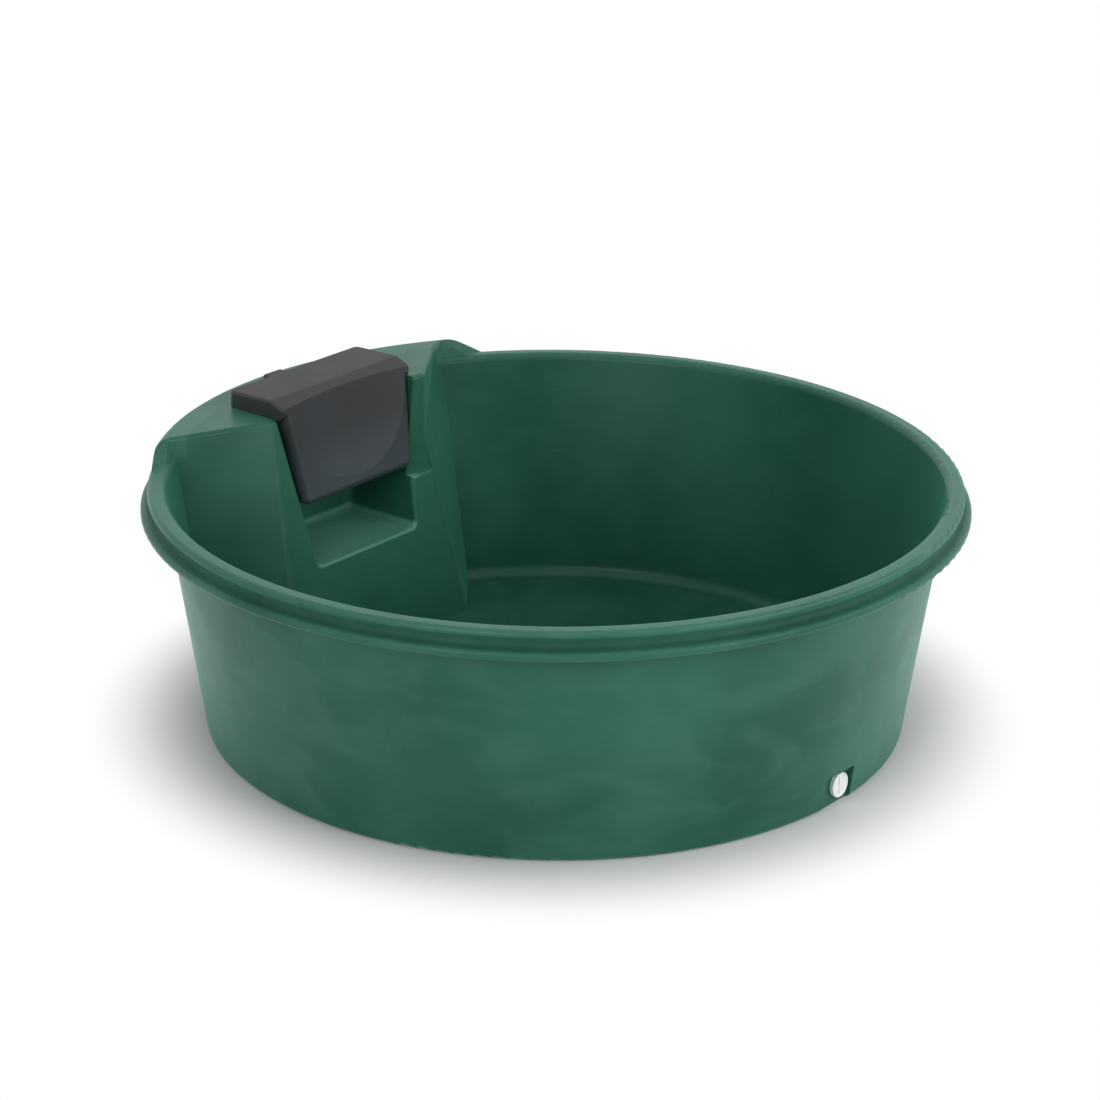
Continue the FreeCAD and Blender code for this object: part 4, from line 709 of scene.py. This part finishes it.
class TROUGH_OT_drain(Operator):
    """Makes the drain: threaded plug with a dished head, bush, seals and ring nut"""
    bl_idname = "trough.drain"
    bl_label = "Drain"

    def execute(self, context):
        colours = context.scene.trough_colours
        sizes = context.scene.trough_sizes
        white = moulded("drain plastic", colours.drain, colours.drain_stain, 0.42, coat=0.15)
        black = moulded("seal rubber", colours.rubber, colours.rubber_stain, 0.68, 0.00006)
        rod = Rod(middle("drain_plug") * (1, 0, 1), (0, 1, 0))
        self.plug(rod, white, sizes)
        self.bush(rod, white, sizes)
        seal(rod, "drain_seal_ring", "tub", black, sizes.edge * 0.8)
        seal(rod, "plug_seal_ring", "plug", black, sizes.edge * 0.8)
        self.ring_nut(rod, white, sizes)
        return {"FINISHED"}

    def plug(self, rod, white, sizes):
        """Head with a flat rim, a dish and a bar across it; threaded shank with a tapered end."""
        head, low, high = rod.measure("drain_plug")[1:]
        seat = rod.measure("plug_seal_ring")[2]
        shank = rod.measure("plug_seal_ring")[0] - sizes.gap
        dish = head - sizes.dish_rim
        floor = low + sizes.dish
        front = rounded([(0, floor), (dish - sizes.dish * 0.7, floor), (dish, low), (head, low), (head, seat),
                         (shank, seat)], [0, 0.002, 0.0007, 0.0014, sizes.edge, 0])
        tip = high - sizes.plug_end
        thread = threaded(rod, shank, sizes.plug_thread, sizes.plug_pitch, seat + sizes.plug_neck, tip)
        end = rounded([(shank - sizes.plug_thread, tip), (shank - sizes.plug_thread, high),
                       (0, high)], [0, sizes.edge * 2, 0])
        grid = np.concatenate([turned(rod, front, 72), thread, turned(rod, end, 72)])
        bar_half = (dish - sizes.dish * 0.2, sizes.grip / 2, sizes.dish * 0.5)
        bar = pebble(rod.start + rod.along * (low + sizes.dish * 0.56), bar_half,
                     [(0, 0, 1), (1, 0, 0), (0, 1, 0)])
        build("drain_plug_cap", [(grid, False), (bar, False)], "plug", white,
              stands_for=["drain_plug"])

    def bush(self, rod, white, sizes):
        """Flanged tube through the wall, threaded outside where the ring nut sits."""
        inner, flange, low, high = rod.measure("drain_bush")
        tube, _, back, end_of_seal = rod.measure("drain_seal_ring")
        outline = rounded([(inner, low), (flange, low), (flange, back), (tube, back)],
                          [sizes.edge, sizes.edge * 2, sizes.edge, 0])
        thread = threaded(rod, tube, sizes.plug_thread * 0.5, sizes.plug_pitch * 0.7,
                          end_of_seal + sizes.runout, high - sizes.edge)
        end = rounded([(tube - sizes.edge, high), (inner, high)], [0, 0])
        grid = np.concatenate([turned(rod, outline, 72), thread, turned(rod, end, 72)])
        build("drain_bush_threaded", [(grid, True)], "tub", white, stands_for=["drain_bush"])

    def ring_nut(self, rod, white, sizes):
        """Ring nut with grips round its outside."""
        inner, outer, low, high = rod.measure("drain_ring_nut")
        outline = ring(inner, outer, low, high,
                       [sizes.edge, sizes.edge * 2, sizes.edge * 2, sizes.edge], 7)
        shape = ribs(sizes.lobe_count, sizes.lobe_depth, (inner + outer) / 2)
        grid = turned(rod, outline, 160, shape)
        build("drain_ring_nut_lobed", [(grid, True)], "tub", white,
              stands_for=["drain_ring_nut"])


class TROUGH_OT_valve(Operator):
    """Makes the float valve: brass body with a threaded tail, nuts, washers, cap, seat and piston"""
    bl_idname = "trough.valve"
    bl_label = "Float valve"

    def execute(self, context):
        colours = context.scene.trough_colours
        sizes = context.scene.trough_sizes
        brass = metal("valve brass", colours.brass, colours.brass_stain, 0.26, 900)
        rubber = moulded("washer rubber", colours.rubber, colours.rubber_stain, 0.66, 0.00006)
        rod = Rod(middle("valve_nozzle") * (1, 0, 1), (0, 1, 0))
        self.casting(rod, brass, sizes)
        for node in ("valve_inner_nut", "valve_outer_nut"):
            inner, outer, low, high = rod.measure(node)
            half = half_flats(outer)
            first, last = np.split(ring(inner, half, low, high, [sizes.edge, 0.0001, 0.0001, sizes.edge]), 2)
            outline = np.concatenate([first, flank(half, np.linspace(low, high, 15)[1:-1]), last])
            grid = turned(rod, outline, 144, hexagon(half, low, high))
            build(node + "_chamfered", [(grid, True)], "tub", brass, 25, [node])
        seal(rod, "valve_inner_washer", "tub", rubber, sizes.edge)
        seal(rod, "valve_outer_washer", "tub", rubber, sizes.edge)
        self.cap(rod, sizes, moulded("cap plastic", colours.cap, colours.cap_stain, 0.45, 0.00005))
        finish_node("valve_nozzle", moulded("seat nylon", colours.nylon, colours.nylon_stain, 0.40))
        finish_node("valve_piston", brass)
        finish_node("piston_rubber", rubber)
        return {"FINISHED"}

    def casting(self, rod, brass, sizes):
        """The valve's body with its tail drawn in under a threaded sleeve."""
        neck = rod.measure("valve_outer_nut")[3] + sizes.tail_neck
        mesh = frame["nodes"]["valve_body"].data.copy()
        close_up(mesh)
        points = points_in(mesh)
        distance, place = rod.find(points)
        behind = place > neck - 1e-5
        tail = distance[behind].max()
        end = place.max()
        root = tail - sizes.tail_thread - sizes.thread_skin
        pull = np.where(behind & (distance > root), root / np.maximum(distance, 1e-9), 1)[:, None]
        axis = rod.start + place[:, None] * rod.along
        drawn = axis + (points - axis) * pull
        mesh.vertices.foreach_set("co", drawn.astype(np.float32).ravel())
        mesh.update()
        piece = bpy.data.objects.new("valve_casting", mesh)
        dress(piece, "tub", brass, 30, ["valve_body"])
        outside = threaded(rod, tail, sizes.tail_thread, sizes.tail_pitch, neck, end)
        inside = turned(rod, flank(root - sizes.sleeve, np.array([end, neck])), 72)
        build("inlet_thread", [(np.concatenate([outside, inside]), True)], "tub", brass)

    def cap(self, rod, sizes, black):
        """Ribbed cap over the barrel's open end."""
        bore, outer, low, high = rod.measure("valve_end_cap")
        plate = rod.first_at("valve_end_cap", bore)
        hole = bore + sizes.cap_gap
        outline = rounded([(0, low), (outer, low), (outer, high), (hole, high), (hole, plate), (0, plate)],
                          [0, sizes.edge * 2, 0.0005, 0.0003, 0, 0], 6)
        shape = ribs(sizes.rib_count, sizes.rib_depth, outer - sizes.rib_reach)
        build("valve_cap_ribbed", [(turned(rod, outline, 240, shape), False)], "tub", black,
              stands_for=["valve_end_cap"])


class TROUGH_OT_float(Operator):
    """Makes the lever's float and lock nut, and finishes the lever and its pin"""
    bl_idname = "trough.float"
    bl_label = "Lever and float"

    def execute(self, context):
        colours = context.scene.trough_colours
        sizes = context.scene.trough_sizes
        steel = metal("lever steel", colours.steel, colours.steel_stain, 0.30, 500)
        skin = moulded("float plastic", colours.float_skin, colours.float_stain, 0.30, 0.00004, 0.3)
        pin = joint_place("float_swing")
        centre = middle("float_ball")
        rod = Rod(pin, centre - pin)
        start = np.linalg.norm(centre - pin)
        radius = rod.measure("float_ball")[1]
        hole = rod.measure("float_nut")[0] + sizes.float_gap
        tip = rod.measure("float_lever")[3] + sizes.runout
        boss = start - (radius ** 2 - sizes.float_boss ** 2) ** 0.5
        bend = np.linspace(np.arcsin(sizes.float_boss / radius), np.pi, 97)
        from_seam = (bend - np.pi / 2) * radius / sizes.seam_width
        wide = radius - sizes.float_seam * (1 - np.exp(-from_seam ** 2))
        skin_line = np.stack([wide * np.sin(bend), start - wide * np.cos(bend)], axis=-1)
        skin_line[-1, 0] = 0
        face = boss - sizes.boss_height
        inside = rounded([(0, tip), (hole, tip), (hole, face), (sizes.float_boss - sizes.boss_edge, face)],
                         [0, 0, 0.0004, 0.0004])
        grid = turned(rod, np.concatenate([inside, skin_line]))
        build("float_moulding", [(grid, False)], "lever", skin, stands_for=["float_ball"])
        inner, outer, low, high = rod.measure("float_nut")
        half = half_flats(outer)
        corners = np.concatenate([[(inner, low)], flank(half, np.linspace(low, high, 11)), [(inner, high)]])
        grid = turned(rod, corners, 144, hexagon(half, low, high))
        build("float_nut_chamfered", [(grid, True)], "lever", steel, 25, ["float_nut"])
        finish_node("float_lever", steel)
        finish_node("lever_pin", steel)
        return {"FINISHED"}


class TROUGH_OT_studio(Operator):
    """Sets up the floor, the light and the camera"""
    bl_idname = "trough.studio"
    bl_label = "Studio"

    def execute(self, context):
        scene = context.scene
        studio = scene.trough_studio
        self.floor(studio)
        self.world(scene, studio)
        right = Vector((np.cos(studio.azimuth), np.sin(studio.azimuth), 0))
        ahead = Vector((-np.sin(studio.azimuth), np.cos(studio.azimuth), 0))
        aim = Vector(studio.aim)
        for name, sideways, forwards, above, size, power in (
                ("top_lamp", 0, 0, 4.2, 4.2, studio.top_power),
                ("side_lamp", 3.8, -0.6, 1.6, 2.0, studio.side_power),
                ("front_lamp", -1.8, -4.0, 1.6, 2.2, studio.front_power),
                ("box_lamp", 3.0, -2.6, 1.4, 1.6, studio.box_power)):
            place = aim + right * sideways + ahead * forwards + Vector((0, 0, above))
            self.lamp(name, place, aim, size, power)
        self.camera(scene, studio, aim)
        scene.view_settings.view_transform = "Standard"
        return {"FINISHED"}

    def seen(self, nodes):
        """1 where the camera, a gloss or a clear piece sees the surface, and 0 for its light."""
        path = [nodes.node("LightPath", {}, {}, name)
                for name in ("Is Camera Ray", "Is Glossy Ray", "Is Transmission Ray")]
        return nodes.maths("MINIMUM", path[0] + path[1] + path[2], 1.0)

    def floor(self, studio):
        """A wide flat disc, its colour plain near the trough and white far off."""
        rod = Rod((0, 0, CAD_BOX[0][2] - studio.floor_drop), (0, 0, 1))
        grid = turned(rod, np.array([(0.0, 0.0), (3.0, 0.0), (30.0, 0.0)]), 128)
        mesh = bpy.data.meshes.new("floor")
        faces = faces_of(*grid.shape[:2], 0, False)
        mesh.from_pydata(grid.reshape(-1, 3), [], faces.tolist())
        floor = bpy.data.objects.new("floor", mesh)
        bpy.context.scene.collection.objects.link(floor)
        material = bpy.data.materials.new("floor")
        material.use_nodes = True
        nodes = Nodes(material.node_tree)
        x, y = nodes.split(nodes.place())[:2]
        far = nodes.step((x * x + y * y) ** 0.5, studio.shadow_full, studio.shadow_end)
        plain = nodes.node("BsdfDiffuse", {}, {"Color": studio.floor})
        white = nodes.node("Emission", {}, {"Color": (1, 1, 1), "Strength": 1.0})
        mixed = nodes.node("MixShader", {}, {0: far * self.seen(nodes), 1: plain, 2: white})
        nodes.node("OutputMaterial", {}, {"Surface": mixed})
        mesh.materials.append(material)

    def world(self, scene, studio):
        """White where it is seen. Elsewhere a soft light that falls off from the horizon to overhead."""
        world = bpy.data.worlds.new("studio")
        world.use_nodes = True
        scene.world = world
        nodes = Nodes(world.node_tree)
        up = nodes.split(nodes.node("TexCoord", {}, {}, "Generated"))[2]
        level = nodes.node("Background", {}, {"Color": (1, 1, 1), "Strength": studio.ambient})
        above = nodes.node("Background", {}, {"Color": (1, 1, 1), "Strength": studio.overhead})
        soft = nodes.node("MixShader", {}, {0: nodes.step(up, 0.25, 0.85), 1: level, 2: above})
        white = nodes.node("Background", {}, {"Color": (1, 1, 1), "Strength": 1.0})
        mixed = nodes.node("MixShader", {}, {0: self.seen(nodes), 1: soft, 2: white})
        nodes.node("OutputWorld", {}, {"Surface": mixed})

    def lamp(self, name, place, aim, size, power):
        """A square soft lamp that faces the aim."""
        data = bpy.data.lights.new(name, "AREA")
        data.size = size
        data.energy = power
        lamp = bpy.data.objects.new(name, data)
        lamp.location = place
        lamp.rotation_mode = "QUATERNION"
        lamp.rotation_quaternion = (aim - place).to_track_quat("-Z", "Y")
        bpy.context.scene.collection.objects.link(lamp)

    def camera(self, scene, studio, aim):
        """A long lens that looks down at the aim from the studio's azimuth and elevation."""
        level = np.cos(studio.elevation)
        back = Vector((np.sin(studio.azimuth) * level, -np.cos(studio.azimuth) * level,
                       np.sin(studio.elevation)))
        data = bpy.data.cameras.new("camera")
        data.lens = studio.lens
        data.sensor_width = 36
        data.clip_end = 100
        camera = bpy.data.objects.new("camera", data)
        camera.location = aim + back * studio.distance
        camera.rotation_mode = "QUATERNION"
        camera.rotation_quaternion = (-back).to_track_quat("-Z", "Y") @ Quaternion((0, 0, 1), studio.roll)
        scene.collection.objects.link(camera)
        scene.camera = camera


class TROUGH_PT_sidebar(Panel):
    """Pieces, sizes, colours and studio of the trough"""
    bl_label = "Trough"
    bl_space_type = "VIEW_3D"
    bl_region_type = "UI"
    bl_category = "Trough"

    def draw(self, context):
        for operator in OPERATORS:
            self.layout.operator(operator.bl_idname)
        scene = context.scene
        for group in (scene.trough_sizes, scene.trough_colours, scene.trough_studio):
            box = self.layout.box()
            for name in group.__annotations__:
                box.prop(group, name)


GROUPS = {"trough_sizes": TroughSizes, "trough_colours": TroughColours, "trough_studio": TroughStudio}
OPERATORS = (TROUGH_OT_tub, TROUGH_OT_cover, TROUGH_OT_drain, TROUGH_OT_valve, TROUGH_OT_float,
             TROUGH_OT_studio)


def register():
    """Adds the settings, operators and panel to Blender."""
    for name, group in GROUPS.items():
        bpy.utils.register_class(group)
        setattr(bpy.types.Scene, name, PointerProperty(type=group))
    for made in (*OPERATORS, TROUGH_PT_sidebar):
        bpy.utils.register_class(made)


def unregister():
    """Takes the settings, operators and panel out of Blender."""
    for made in (*OPERATORS, TROUGH_PT_sidebar):
        bpy.utils.unregister_class(made)
    for name, group in GROUPS.items():
        delattr(bpy.types.Scene, name)
        bpy.utils.unregister_class(group)


def main():
    """Makes every piece and the studio."""
    register()
    bpy.ops.trough.tub()
    bpy.ops.trough.cover()
    bpy.ops.trough.drain()
    bpy.ops.trough.valve()
    bpy.ops.trough.float()
    bpy.ops.trough.studio()


if __name__ == "__main__":
    main()
